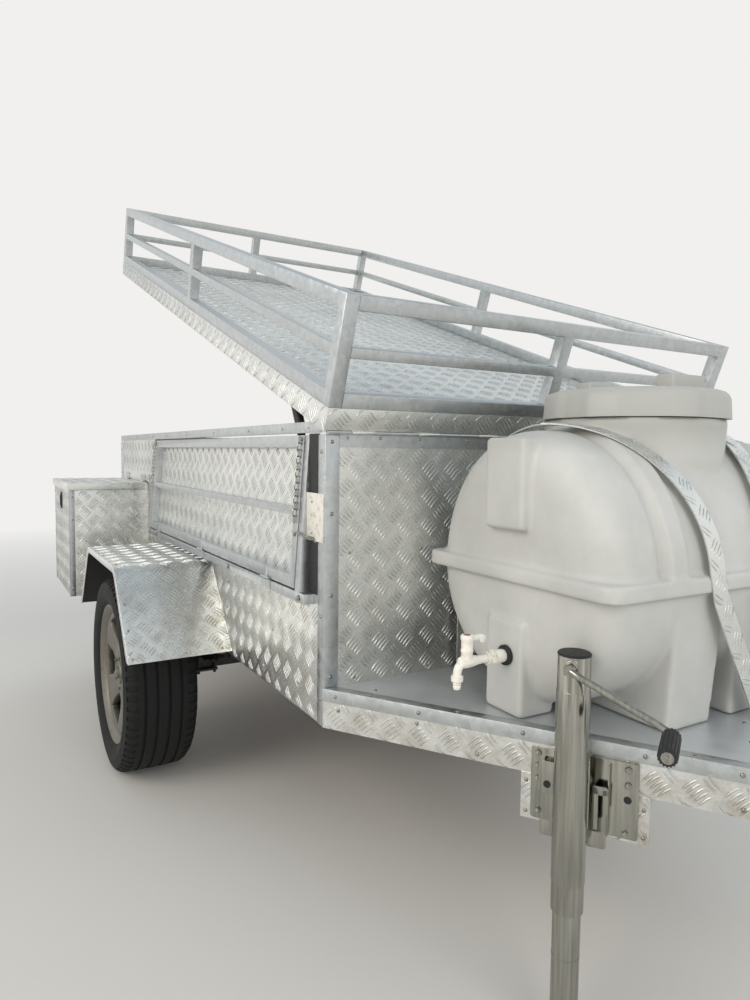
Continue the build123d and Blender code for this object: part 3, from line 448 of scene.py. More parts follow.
@material("polycarbonate_white_plate")
def white_plate(name):
    """Pale painted plate beside the hatch, marked by dirty fingers."""
    made, tree, shader, place = begin(name, Roughness=0.5)
    dirt = add(tree, "TexNoise", {"Scale": 1000 / 18, "Detail": 5.0, "Roughness": 0.65}, Vector=place)
    colour = add(tree, "ValToRGB", {"stops": ((0.5, "#E4E0D8"), (0.68, "#B9AE9C"))}, Fac=dirt)
    wire(tree, shader, Base_Color=colour)
    return made


@material("waterproof_plywood")
def plywood(name):
    """Floor of phenolic plywood: dark brown, smooth, with long grain."""
    return coat(name, (30.0, 5.0, 0.6, (0.08, 1.0, 1.0)), ((0.3, "#4A3322"), (0.7, "#6B4C33")), (0.45, 0.6),
                (0.15, 0.4))


# Shapes that are made once and copied

def take(obj):
    """Read an object's corners and faces in metres, and remove the object."""
    apply_place(obj)
    mesh = obj.data
    shape = [v.co.copy() for v in mesh.vertices], [tuple(f.vertices) for f in mesh.polygons]
    bpy.data.objects.remove(obj)
    bpy.data.meshes.remove(mesh)
    return shape


def copies(name, stamps):
    """Join copies of shapes into one object. A stamp is a shape and the matrix that puts it in its place."""
    verts, faces = [], []
    for (corners, sides), place in stamps:
        base = len(verts)
        verts.extend(place @ corner for corner in corners)
        faces.extend(tuple(base + i for i in side) for side in sides)
    return new_object(name, verts, faces)


def facing(point, normal, size=1.0):
    """Place a shape at a point in millimetres, with its own Z along a normal."""
    turn = Vector(normal).to_track_quat("Z", "Y").to_matrix().to_4x4()
    return Matrix.Translation(Vector(point) * MM) @ turn @ Matrix.Scale(size, 4)


def select_where(test):
    """Select the faces of the mesh in edit mode whose middle and normal pass a test."""
    mesh = bmesh.from_edit_mesh(bpy.context.edit_object.data)
    for face in mesh.faces:
        face.select = test(face.calc_center_median() / MM, face.normal)
    mesh.select_flush_mode()
    bmesh.update_edit_mesh(bpy.context.edit_object.data)


def rounded_box(name, x0, x1, y0, y1, z0, z1, edge=1.0, segments=2, corner=0.0, upright="Z"):
    """Box between two corners in millimetres: edges along one axis rounded by corner, and then all by edge."""
    deselect()
    middle = ((x0 + x1) / 2 * MM, (y0 + y1) / 2 * MM, (z0 + z1) / 2 * MM)
    size = (abs(x1 - x0) * MM, abs(y1 - y0) * MM, abs(z1 - z0) * MM)
    bpy.ops.mesh.primitive_cube_add(size=1, location=middle, scale=size)
    obj = bpy.context.active_object
    obj.name = obj.data.name = name
    apply_place(obj)
    if corner:
        bpy.ops.object.mode_set(mode="EDIT")
        mesh = bmesh.from_edit_mesh(obj.data)
        axis = "XYZ".index(upright)
        for line in mesh.edges:
            way = (line.verts[0].co - line.verts[1].co).normalized()
            line.select = abs(way[axis]) > 0.9
        bmesh.update_edit_mesh(obj.data)
        bpy.ops.mesh.select_mode(type="EDGE")
        bpy.ops.mesh.bevel(offset=corner * MM, segments=8, affect="EDGES")
        bpy.ops.object.mode_set(mode="OBJECT")
    if edge:
        bevel(obj, edge, segments, 40.0)
    return obj


def turned(name, rings, sides=48, place=(0, 0, 0), way=(0, 0, 1), closed=False):
    """Turn a shape on an axis: a circle is extruded from ring to ring.

    A ring is its radius, its distance along the axis and, if it is oval, its second radius, in millimetres.
    A closed shape joins its last ring to its first, as a tyre or a washer does.
    """
    deselect()
    rows = [(ring[0], ring[1], ring[2] if len(ring) > 2 else ring[0]) for ring in rings]
    if closed:
        rows.append(rows[0])
    bpy.ops.mesh.primitive_circle_add(vertices=sides, radius=MM, location=(0, 0, 0))
    obj = bpy.context.active_object
    obj.name = obj.data.name = name
    with editing(obj):
        wide, along, high = rows[0]
        bpy.ops.transform.resize(value=(wide, high, 1), center_override=(0, 0, 0))
        bpy.ops.transform.translate(value=(0, 0, along * MM))
        for next_wide, next_along, next_high in rows[1:]:
            step = (0, 0, (next_along - along) * MM)
            bpy.ops.mesh.extrude_region_move(TRANSFORM_OT_translate={"value": step})
            bpy.ops.transform.resize(value=(next_wide / wide, next_high / high, 1),
                                     center_override=(0, 0, next_along * MM))
            wide, along, high = next_wide, next_along, next_high
        bpy.ops.mesh.select_all(action="SELECT")
        if closed:
            bpy.ops.mesh.remove_doubles(threshold=0.000005)
        else:
            bpy.ops.mesh.fill_holes(sides=0)
        bpy.ops.mesh.normals_make_consistent(inside=False)
    obj.matrix_world = facing(place, way)
    return apply_place(obj)


def tube(name, points, radius, sides=12):
    """Bend a round bar along points in millimetres."""
    deselect()
    line = bpy.data.curves.new(name, "CURVE")
    line.dimensions = "3D"
    line.bevel_depth = radius * MM
    line.bevel_resolution = max(0, sides // 4 - 1)
    line.use_fill_caps = True
    line.resolution_u = 6
    run = line.splines.new("BEZIER")
    run.bezier_points.add(len(points) - 1)
    for knot, point in zip(run.bezier_points, points):
        knot.co = Vector(point) * MM
        knot.handle_left_type = knot.handle_right_type = "AUTO"
    obj = bpy.data.objects.new(name, line)
    bpy.context.scene.collection.objects.link(obj)
    pick(obj)
    bpy.ops.object.convert(target="MESH")
    obj = bpy.context.active_object
    obj.name = obj.data.name = name
    return outward(obj)


def rivet_head():
    """Model a low domed rivet head that is one metre in radius, to be copied at its real size."""
    deselect()
    bpy.ops.mesh.primitive_uv_sphere_add(segments=10, ring_count=6, radius=1)
    obj = bpy.context.active_object
    with editing(obj):
        bpy.ops.mesh.bisect(plane_co=(0, 0, 0.02), plane_no=(0, 0, 1), clear_inner=True, use_fill=True)
    obj.scale = (1, 1, 0.55)
    return take(obj)


def hex_bolt():
    """Model a hexagon head on a washer, one metre in radius, with the bolt's rounded end standing out of it."""
    washer = turned("Washer", ((700, 0), (700, 60), (990, 60), (1000, 0)), 20)
    deselect()
    bpy.ops.mesh.primitive_cylinder_add(vertices=6, radius=0.8, depth=0.55, location=(0, 0, 0.3))
    nut = bpy.context.active_object
    bevel(nut, 60.0, 1, 60.0)
    end = turned("Bolt end", ((380, 500), (380, 800), (280, 880)), 10)
    return take(join([nut, washer, end], "Bolt"))


SHAPES = {}


def shape(name, make):
    """Model a shape the first time that it is asked for, and keep it."""
    if name not in SHAPES:
        SHAPES[name] = make()
    return SHAPES[name]


def rivets(points, normal, radius=4.5):
    """Stamps of rivet heads at points in millimetres."""
    return [(shape("rivet", rivet_head), facing(point, normal, radius * MM)) for point in points]


def bolts(points, normal, radius=9.0):
    """Stamps of bolts at points in millimetres."""
    return [(shape("bolt", hex_bolt), facing(point, normal, radius * MM)) for point in points]


# Tread bars

CELL = 70.0
BAR_PITCH = 9.5
BAR_SINK = 0.12


def tread_bar(looks):
    """Model one raised bar: a low curved spindle with pointed ends, in millimetres."""
    deselect()
    bpy.ops.mesh.primitive_grid_add(x_subdivisions=4, y_subdivisions=2, size=2)
    obj = bpy.context.active_object
    bpy.ops.object.mode_set(mode="EDIT")
    mesh = bmesh.from_edit_mesh(obj.data)
    for corner in mesh.verts:
        along, across = corner.co.x, corner.co.y
        full = math.sqrt(max(0.0, 1 - along ** 4))
        corner.co.x = along * looks.bar_length / 2
        corner.co.y = across * full * looks.bar_width / 2 + (1 - along * along) * looks.bar_sag
        corner.co.z = full * looks.bar_height * (1 - abs(across)) + 0.15 * looks.bar_height * (1 - abs(across))
    bmesh.update_edit_mesh(obj.data)
    bpy.ops.mesh.select_all(action="SELECT")
    bpy.ops.mesh.remove_doubles(threshold=0.001)
    bpy.ops.mesh.select_all(action="SELECT")
    bpy.ops.mesh.fill_holes(sides=0)
    bpy.ops.mesh.normals_make_consistent(inside=False)
    bpy.ops.object.mode_set(mode="OBJECT")
    return take(obj)


def flat(origin, along, up):
    """Place points of a flat plate: along it, up it and out of it, in millimetres."""
    origin, along, up = Vector(origin), Vector(along).normalized(), Vector(up).normalized()
    out = along.cross(up)
    return lambda x, y, z: origin + along * x + up * y + out * z


def tread(name, areas):
    """Raised bars on areas of plate: each is its placing, its reach along and up in millimetres, and its phase."""
    bar, faces = shape("bar", lambda: tread_bar(bpy.context.scene.trailer_looks))
    verts, made = [], []
    for place, x0, x1, y0, y1, *phase in areas:
        shift_x, shift_y = phase or (0.0, 0.0)
        rows, lines = (range(math.floor((low - shift - CELL / 2) / CELL * 2),
                             math.ceil((high - shift + CELL / 2) / CELL * 2) + 1)
                       for low, high, shift in ((x0, x1, shift_x), (y0, y1, shift_y)))
        for i in rows:
            for j in lines:
                if (i + j) % 2:
                    continue
                turn = math.radians(45.0 if i % 2 else 135.0)
                c, s = math.cos(turn), math.sin(turn)
                for k in range(-2, 3):
                    cx = shift_x + i * CELL / 2 - s * k * BAR_PITCH
                    cy = shift_y + j * CELL / 2 + c * k * BAR_PITCH
                    if not (x0 + 2 < cx < x1 - 2 and y0 + 2 < cy < y1 - 2):
                        continue
                    base = len(verts)
                    for v in bar:
                        x = min(max(cx + c * v.x - s * v.y, x0 + 0.5), x1 - 0.5)
                        y = min(max(cy + s * v.x + c * v.y, y0 + 0.5), y1 - 0.5)
                        verts.append(place(x, y, v.z - BAR_SINK) * MM)
                    made.extend([tuple(base + n for n in f) for f in faces])
    obj = new_object(name, verts, made)
    pick(obj)
    bpy.ops.object.shade_smooth()
    return obj


# The lid's own plane

LID_ALONG = Vector((math.cos(LID_OPEN), 0, -math.sin(LID_OPEN)))
LID_UP = Vector((math.sin(LID_OPEN), 0, math.cos(LID_OPEN)))


def lid_point(x, y, z):
    """Turn a point in the lid's own plane into the trailer's frame, in millimetres."""
    return HINGE + LID_ALONG * x + LID_UP * z + Vector((0, y, 0))


# Sheets, tubes and trims of the box: CAD nodes with their edges rounded

WALLS = ("front_wall", "side_wall_right", "side_wall_left", "rear_wall")
PLAIN_NODES = {
    "rolled_aluminium_tread_plate": WALLS + ("platform_skirts",),
    "mill_finish_aluminium_sheet": ("platform_deck",),
    "hot_dip_galvanised_steel": ("hatch_chains_right", "hatch_chains_left", "fixed_hinges", "lid_ribs"),
    "black_stove_enamel": ("chassis_rails", "cross_members", "drawbar_rails", "drawbar_cross_members", "axle",
                           "springs", "spring_fittings"),
    "waterproof_plywood": ("box_floor",),
}

# Rounding in millimetres, finish, and the nodes that get them
TRIMMED_NODES = (
    (0.8, GALVANISED, "corner_angles"),
    (0.6, GALVANISED, "top_strips", "edge_angles"),
    (0.8, GALVANISED, "hatch_surrounds"),
    (1.5, GALVANISED, "hatch_frame_right", "hatch_frame_left"),
    (0.0, TREAD, "hatch_panel_right", "hatch_panel_left"),
    (0.8, TREAD, "lid_tray"),
    (2.0, GALVANISED, "rack_right", "rack_left", "rack_front", "rack_rear"),
    (0.7, TREAD, "mudguards"),
    (1.0, TREAD, "side_box_right", "side_box_left"),
    (0.8, TREAD, "side_box_lid_right", "side_box_lid_left", "tailgate"),
    (3.0, ZINC, "coupling"),
)


def finish_nodes():
    """Give the CAD nodes that stay their materials."""
    for material_name, nodes in PLAIN_NODES.items():
        for node in nodes:
            slots = frame["nodes"][node].data.materials
            slots.clear()
            slots.append(the_material(material_name))


def trim_nodes():
    """Round the edges of sheets and tubes, so that they catch the light as folded and drawn metal does."""
    for edge, finish, *nodes in TRIMMED_NODES:
        for node in nodes:
            dress(node_copy(node, node + "_trimmed", edge), finish, frame["nodes"][node]["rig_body"], node)


# Tread plate on each surface

LEG = 34.0
LEAF_BOTTOM = 1161.0
STRIP_BOTTOM = 782.0
STRIP_TOP = 807.0
TOP_STRIP = 1195.0
HATCH_X = (-1028.0, 532.0)
HATCH_BOTTOM = 812.0
HATCH_TOP = 1190.0
HATCH_PROUD = 28.0
HATCH_TUBE = 30.0
JAMB = 31.0
LEAN = math.atan2(HATCH_PROUD, HATCH_TOP - HATCH_BOTTOM)
LOCKER_X = (-1718.0, -1178.0)
LOCKER_Z = (503.0, 972.0, 1001.0)
LOCKER_OUT = 993.3
LOCKER_LID_OUT = 1004.3
PLATFORM = 950.0
AXLE_X = -498.0
WHEEL_Z = 345.0
GUARD_OUT = 980.0
GUARD_TOP = 775.0
GUARD_BOTTOM = 513.0
GUARD_FLAT = 550.0
GUARD_REACH = 980.0
GUARD_BEND = 70.0
GATE_EDGE = 562.0
SEAM = (1040.0, 1042.0)


def wall_bars():
    """Tread on the front wall, the side walls and the rear wall round the tailgate."""
    front = flat((WALL_X, 0, 0), (0, 1, 0), (0, 0, 1))
    edge = HALF_WIDTH - LEG
    pieces = [tread("front_wall_bars", [(front, -edge, edge, DECK_TOP + 3, LEAF_BOTTOM, 20, 20)])]
    for name, s in SIDES:
        side = flat((0, s * HALF_WIDTH, 0), (-s, 0, 0), (0, 0, 1))
        spans = [(WALL_X - LEG, REAR_X + LEG, BOX_BOTTOM + 2, LOCKER_Z[0] - 2),
                 (WALL_X - LEG, LOCKER_X[1] + 4, LOCKER_Z[0] - 2, STRIP_BOTTOM),
                 (HATCH_X[0] - JAMB, LOCKER_X[1] + 4, STRIP_BOTTOM, SEAM[0]),
                 (HATCH_X[0] - JAMB, REAR_X + LEG, SEAM[1], TOP_STRIP),
                 (LOCKER_X[0] - 4, REAR_X + LEG, LOCKER_Z[0], SEAM[0])]
        areas = [(side, *sorted((-s * a, -s * b)), low, high, 10, 15) for a, b, low, high in spans]
        pieces.append(tread("side_wall_bars_" + name, areas))
    rear = flat((REAR_X, 0, 0), (0, -1, 0), (0, 0, 1))
    pieces.append(tread("rear_wall_bars", [
        (rear, -edge, edge, BOX_BOTTOM + 2, 520.0), (rear, -edge, edge, 612.0, 638.0),
        (rear, -470.0, 470.0, 520.0, 574.0), (rear, -edge, -GATE_EDGE, 640.0, 1190.0),
        (rear, GATE_EDGE, edge, 640.0, 1190.0), (rear, -GATE_EDGE, GATE_EDGE, 1167.0, 1215.0)]))
    for piece in pieces:
        dress(piece, TREAD, "chassis")
    gate = tread("tailgate_bars", [(rear, -550.0, 550.0, 775.0, 1062.0), (rear, -550.0, -395.0, 648.0, 775.0),
                                   (rear, -265.0, 265.0, 648.0, 775.0), (rear, 395.0, 550.0, 648.0, 775.0),
                                   (rear, -395.0, 395.0, 1062.0, 1156.0)])
    dress(gate, TREAD, "tailgate")


def skirt_bars():
    """Tread on the skirts below the platform's edges."""
    c, s0 = math.cos(DRAWBAR_ANGLE), math.sin(DRAWBAR_ANGLE)
    length = PLATFORM / c
    for name, s in SIDES:
        out = Vector((s0, s * c, 0)) * 3.0
        place = flat(Vector((WALL_X, s * HALF_WIDTH, 0)) + out, (-s * c, s0, 0), (0, 0, 1))
        ends = sorted((-s * 4.0, -s * (length - 2)))
        dress(tread("skirt_bars_" + name, [(place, *ends, BOX_BOTTOM + 1, DECK_TOP - 28.5)]), TREAD, "chassis")


def lid_bars():
    """Tread on the lid's top between the rack's rails, and on its four skirts."""
    inner = LID_HALF - 35
    top = flat(lid_point(0, 0, LID_SKIRT), LID_ALONG, (0, 1, 0))
    areas = [(top, LID_BACK + 36, LID_FRONT - 36, -inner, inner, 12, 0)]
    for s in (-1, 1):
        place = flat(lid_point(0, s * LID_HALF, 0), -s * LID_ALONG, LID_UP)
        ends = sorted((-s * (LID_BACK + 1), -s * (LID_FRONT - 1)))
        areas.append((place, *ends, 1.0, LID_SKIRT - 1, 0, 30))
    for x, way, low in ((LID_FRONT, 1, 7.0), (LID_BACK, -1, 1.0)):
        place = flat(lid_point(x, 0, 0), (0, way, 0), LID_UP)
        areas.append((place, 1 - LID_HALF, LID_HALF - 1, low, LID_SKIRT - 1, 0, 30))
    dress(tread("lid_bars", areas), TREAD, "lid")


def hatch_place(s):
    """Place points on a hatch's outer face: along it, up it from its lower edge and out of it."""
    origin = Vector(((HATCH_X[0] + HATCH_X[1]) / 2, s * (HALF_WIDTH + HATCH_PROUD), HATCH_BOTTOM))
    up = Vector((0, -s * math.sin(LEAN), math.cos(LEAN)))
    return flat(origin, (-s, 0, 0), up)


def hatch_bars():
    """Tread on the two bays of each hatch's panel, set back inside the frame."""
    half = (HATCH_X[1] - HATCH_X[0]) / 2 - HATCH_TUBE
    rise = (HATCH_TOP - HATCH_BOTTOM) / math.cos(LEAN)
    for name, s in SIDES:
        face = hatch_place(s)
        panel = lambda x, y, z, face=face: face(x, y, z + 3.0 - HATCH_TUBE)
        areas = [(panel, -half, half, low, high, 5, 0)
                 for low, high in ((HATCH_TUBE, rise / 2 - 10), (rise / 2 + 10, rise - HATCH_TUBE))]
        dress(tread("hatch_bars_" + name, areas), TREAD, "hatch_" + name)


def guard_place(s):
    """Place points on a mudguard's outside: along it from the middle of its top, across it and out of it."""
    slope = math.atan2(GUARD_TOP - GUARD_BOTTOM, (GUARD_REACH - GUARD_FLAT) / 2)
    tangent = GUARD_BEND * math.tan(slope / 2)
    straight = GUARD_FLAT / 2 - tangent
    arc = GUARD_BEND * slope

    def place(along, across, out):
        t, side = abs(along), 1 if along > 0 else -1
        if t <= straight:
            x, z = t, GUARD_TOP + out
        elif t <= straight + arc:
            turn = (t - straight) / GUARD_BEND
            x = straight + (GUARD_BEND + out) * math.sin(turn)
            z = GUARD_TOP - GUARD_BEND + (GUARD_BEND + out) * math.cos(turn)
        else:
            rest = t - straight - arc
            x = GUARD_FLAT / 2 + (tangent + rest) * math.cos(slope) + out * math.sin(slope)
            z = GUARD_TOP - (tangent + rest) * math.sin(slope) + out * math.cos(slope)
        return Vector((AXLE_X + side * x, s * HALF_WIDTH + across, z))

    reach = straight + arc + math.hypot((GUARD_REACH - GUARD_FLAT) / 2, GUARD_TOP - GUARD_BOTTOM) - tangent
    return place, reach


def guard_bars():
    """Tread over the mudguards, bent with them."""
    for name, s in SIDES:
        place, reach = guard_place(s)
        ends = sorted((s * 3.0, s * (GUARD_OUT - HALF_WIDTH - 2)))
        piece = tread("mudguard_bars_" + name, [(place, 2 - reach, reach - 2, *ends, 8, 25)])
        dress(piece, TREAD, "chassis")


def side_box_bars():
    """Tread on the side boxes and on their lids."""
    for name, s in SIDES:
        outer = flat((0, s * LOCKER_OUT, 0), (-s, 0, 0), (0, 0, 1))
        ends = sorted((-s * (LOCKER_X[0] + 22), -s * (LOCKER_X[1] - 22)))
        areas = [(outer, *ends, LOCKER_Z[0] + 2, LOCKER_Z[1] - 6)]
        for x, way in ((LOCKER_X[1], 1), (LOCKER_X[0], -1)):
            place = flat((x, 0, 0), (0, way, 0), (0, 0, 1))
            ends = sorted((way * s * (HALF_WIDTH + 4), way * s * (LOCKER_OUT - 22)))
            areas.append((place, *ends, LOCKER_Z[0] + 2, LOCKER_Z[1] - 6, 15, 0))
        dress(tread("side_box_bars_" + name, areas), TREAD, "chassis")
        top = flat((0, 0, LOCKER_Z[2]), (1, 0, 0), (0, 1, 0))
        ends = sorted((s * 690.0, s * (LOCKER_LID_OUT - 2)))
        piece = tread("side_box_lid_bars_" + name, [(top, LOCKER_X[0] - 9, LOCKER_X[1] + 9, *ends, 10, 10)])
        dress(piece, TREAD, "side_box_lid_" + name)


TANK_X = 968.0
TANK_Z = 890.0
TANK_WIDE = 279.0
TANK_UP = 312.0
TANK_DOWN = 284.0
BAND_OUT = 12.0
BELT_X = 294.0
DECK_SEAT = DECK_TOP + 0.4
STRAP_TURN = math.radians(30.0)
STRAP_WIDTH = 46.0
STRAP_THICK = 3.0
STRAP_Y = (203 + 2 + STRAP_WIDTH / 2) / math.cos(STRAP_TURN)

# Side, way along the trailer, turn in plan, place of the foot across the trailer, lift over the strap below
STRAP_HALVES = ((-1, 1, STRAP_TURN, 83.0, 0.0), (1, 1, STRAP_TURN, 152.0, 0.0),
                (-1, -1, 0.0, -STRAP_Y, -0.8), (1, -1, 0.0, STRAP_Y, -0.8))


def strap_place(s, t, turn, foot, lift):
    """Place points on half a strap's outer face: down it from the tank's crest, across it and out of it."""
    rise, reach = TANK_UP + BAND_OUT + 4 + lift, BELT_X + 4 + lift
    line = []
    for i in range(-1, 29):
        turned_down = math.radians(90 - 3 * i)
        x, z = reach * math.cos(turned_down), rise * math.sin(turned_down)
        out = Vector((t * math.cos(turned_down), 0, math.sin(turned_down)))
        line.append((Vector((TANK_X + t * x, s * (STRAP_Y - x * math.tan(turn)), TANK_Z + z)), out))
    belt_y = line[-1][0].y
    for share in (0.08, 1.0):
        down = Vector((TANK_X + t * reach, belt_y + (foot - belt_y) * share,
                       TANK_Z + (DECK_SEAT - TANK_Z) * share))
        line.append((down, Vector((t, 0, 0))))
    ends = [0.0]
    for (a, _), (b, _) in zip(line, line[1:]):
        ends.append(ends[-1] + (b - a).length)

    def place(down, wide_way, out):
        i = min(max(k for k, end in enumerate(ends) if end <= down), len(line) - 2)
        share = (down - ends[i]) / (ends[i + 1] - ends[i])
        (a, a_out), (b, b_out) = line[i], line[i + 1]
        way = (b - a).normalized()
        across = a_out.lerp(b_out, share).cross(way).normalized()
        return a.lerp(b, share) + across * wide_way + way.cross(across) * out

    return place, ends


def straps():
    """Straps of tread plate that hold the tank down: flat on its crest, and leaning in ahead of the neck."""
    verts, faces = [], []
    for s, t, turn, foot, lift in STRAP_HALVES:
        place, ends = strap_place(s, t, turn, foot, lift)
        base = len(verts)
        for end in ends:
            down = min(end, ends[-1] - 0.01)
            for wide_way, out in ((-0.5, 0), (0.5, 0), (0.5, -1), (-0.5, -1)):
                verts.append(place(down, wide_way * STRAP_WIDTH, out * STRAP_THICK) * MM)
        for i in range(len(ends) - 1):
            for k in range(4):
                n = (k + 1) % 4
                faces.append(tuple(base + j for j in (4 * i + k, 4 * i + n, 4 * i + 4 + n, 4 * i + 4 + k)))
        last = base + 4 * (len(ends) - 1)
        faces.append((base, base + 3, base + 2, base + 1))
        faces.append((last, last + 1, last + 2, last + 3))
    piece = outward(new_object("tank_strap_plates", verts, faces))
    dress(smooth(piece), TREAD, "chassis", "tank_straps")


def strap_bars():
    """Tread on the straps that hold the tank: cut from the same plate, so the bars run off their edges."""
    areas = []
    for s, t, turn, foot, lift in STRAP_HALVES:
        place, ends = strap_place(s, t, turn, foot, lift)
        areas.append((place, 4.0, ends[-1] - 4, -STRAP_WIDTH / 2, STRAP_WIDTH / 2, 5 + 20 * s, 12))
    dress(tread("tank_strap_bars", areas), TREAD, "chassis")


# Rivets, screws and bolts

def box_rivets():
    """Rivets and screws where the photograph shows them, and on the far side at the same places."""
    stamps = []
    for _, s in SIDES:
        edge = s * (HALF_WIDTH + 3)
        stamps += rivets([(WALL_X + 3, s * 646.0, z) for z in (1173, 1005, 812, 617)], (1, 0, 0), 5.0)
        stamps += rivets([(REAR_X - 3, s * 646.0, z) for z in (1005, 812, 617, 530)], (-1, 0, 0), 5.0)
        stamps += rivets([(WALL_X - 17, edge, z) for z in (1150, 960, 760, 560)], (0, s, 0), 5.0)
        stamps += rivets([(REAR_X + 17, edge, z) for z in (1150, 1030, 760, 540)], (0, s, 0), 5.0)
        stamps += rivets([(x, s * (HALF_WIDTH + 2), 1208.0)
                          for x in (560, 400, 150, -191, -520, -820, -1060, -1400, -1700)], (0, s, 0), 4.0)
        spots = ((-86, 608), (-120, 720), (260, 540), (500, 560), (330, 660))
        stamps += rivets([(x, s * HALF_WIDTH, z) for x, z in spots], (0, s, 0), 4.5)
        strip = s * (HALF_WIDTH + HATCH_PROUD)
        stamps += bolts([(x, strip, 794.0) for x in (565, 39, -900)], (0, s, 0), 8.0)
        for x in (AXLE_X - 520, AXLE_X + 470):
            stamps += rivets([(x - 20, s * (HALF_WIDTH + 3.0), z) for z in (560, 650, 730)], (0, s, 0), 4.5)
    stamps += rivets([(WALL_X + 3, y, 1183.0) for y in (-605, -516, -402, -251, -90, 90, 251, 402, 516, 605)],
                     (1, 0, 0), 4.0)
    spots = ((-596, 910), (-391, 910), (-580, 606), (-369, 606), (596, 910), (580, 640))
    stamps += rivets([(WALL_X, y, z) for y, z in spots], (1, 0, 0), 4.0)
    dress(smooth(copies("box_rivets", stamps), 50.0), ZINC, "chassis")


def platform_rivets():
    """Rivets along the platform's edge angles and skirts, and the screws of the deck's sheets."""
    stamps = []
    c, s0 = math.cos(DRAWBAR_ANGLE), math.sin(DRAWBAR_ANGLE)
    for _, s in SIDES:
        out = Vector((s0, s * c, 0))
        start = Vector((WALL_X, s * HALF_WIDTH, 0))
        way = Vector((c, -s * s0, 0))
        for along, z, proud in ((32, 577, 5), (244, 577, 5), (477, 577, 5), (714, 577, 5), (878, 577, 5),
                                (1060, 577, 5), (40, 545, 3), (240, 552, 3), (380, 512, 3), (883, 512, 3),
                                (1080, 512, 3)):
            stamps += rivets([start + way * along + out * proud + Vector((0, 0, z))], out, 5.0)
        for along in (120, 330, 560, 800, 1020):
            stamps += rivets([start + way * along - out * 8 + Vector((0, 0, DECK_TOP + 2))], (0, 0, 1), 4.5)
    for x, y in ((1187, 102), (1264, 24), (1187, -102), (1330, 60), (1330, -60), (720, 560), (720, -560),
                 (720, 250)):
        stamps += rivets([(x, y, DECK_TOP)], (0, 0, 1), 5.0)
    dress(smooth(copies("platform_rivets", stamps), 50.0), ZINC, "chassis")


def guard_shade_skins():
    """A thin black skin that follows the bent sheet inside each mudguard: painted shade for the dark inside of the
    guard.
    """
    for name, s in SIDES:
        place, reach = guard_place(s)
        near, far = s * 2.0, s * (GUARD_OUT - HALF_WIDTH - 1.5)
        count = 48
        section = ((near, -3.1), (far, -3.1), (far, -4.3), (near, -4.3))
        corners = [place(-(reach - 2) + 2 * (reach - 2) * i / count, across, out) * MM
                   for i in range(count + 1) for across, out in section]
        sheets = [(4 * i + k, 4 * i + (k + 1) % 4, 4 * i + 4 + (k + 1) % 4, 4 * i + 4 + k)
                  for i in range(count) for k in range(4)]
        sheets += [(0, 3, 2, 1), tuple(4 * count + k for k in range(4))]
        piece = outward(new_object("mudguard_shade_skin_" + name, corners, sheets))
        # The black enamel on this skin is painted shade under the guard.
        dress(smooth(piece), ENAMEL, "chassis")


def guard_rivets():
    """Screws down the mudguards' outer lip and along their lower edge."""
    stamps = []
    heights = (540, 640, 740, 840, 940)
    for _, s in SIDES:
        place, reach = guard_place(s)
        for along in (14 - reach, 110 - reach, 200 - reach, -240, 0, 240, reach - 200, reach - 110, reach - 14):
            at = place(along, s * (GUARD_OUT - HALF_WIDTH - 15), 0)
            stamps += rivets([at], place(along, 0, 10) - place(along, 0, 0), 4.5)
        for along in (-reach + 14, reach - 14):
            for across in (30, 145):
                stamps += rivets([place(along, s * across, 0)], place(along, 0, 10) - place(along, 0, 0), 4.5)
        for x in (LOCKER_X[0] + 11, LOCKER_X[1] - 11):
            stamps += rivets([(x, s * (LOCKER_OUT + 2.4), z) for z in heights], (0, s, 0), 4.0)
        stamps += rivets([(LOCKER_X[1] + 2.4, s * (LOCKER_OUT - 11), z) for z in heights], (1, 0, 0), 4.0)
    dress(smooth(copies("mudguard_rivets", stamps), 50.0), ZINC, "chassis")


# Corner angles and latches of the side boxes

def side_box_trim():
    """Galvanised corner angles and a black slot latch on each side box."""
    z0, z1 = LOCKER_Z[0], LOCKER_Z[1] - 4
    middle = (LOCKER_X[0] + LOCKER_X[1]) / 2
    for name, s in SIDES:
        angles, y = [], s * LOCKER_OUT
        for x, t in ((LOCKER_X[0], -1), (LOCKER_X[1], 1)):
            angles.append(rounded_box("Leg", x - t * 20, x + t * 2.2, y, y + s * 2.2, z0, z1, 0.6))
            angles.append(rounded_box("Leg", x, x + t * 2.2, y + s * 2.2, y - s * 20, z0, z1, 0.6))
        dress(smooth(join(angles, "side_box_angles_" + name)), GALVANISED, "chassis")
        latch = rounded_box("Latch", middle - 17, middle + 17, y, s * (LOCKER_OUT + 6), 872, 948, 2, 3, 12, "Y")
        keyhole = rounded_box("Grip", middle - 5, middle + 5, s * (LOCKER_OUT + 5.5), s * (LOCKER_OUT + 9.5),
                              885, 935, 1.5, 2)
        dress(smooth(join([latch, keyhole], "side_box_latch_" + name)), RUBBER, "chassis")


# Water tank

def smooth_rows(rows, steps):
    """Draw a smooth curve through rows of numbers, with steps between each two."""
    out = []
    for i in range(len(rows) - 1):
        a, b, c, d = rows[max(i - 1, 0)], rows[i], rows[i + 1], rows[min(i + 2, len(rows) - 1)]
        for k in range(steps):
            t = k / steps
            out.append(tuple(0.5 * (2 * q + (r - p) * t + (2 * p - 5 * q + 4 * r - w) * t * t
                                    + (3 * q - p - 3 * r + w) * t ** 3) for p, q, r, w in zip(a, b, c, d)))
    return out + [rows[-1]]


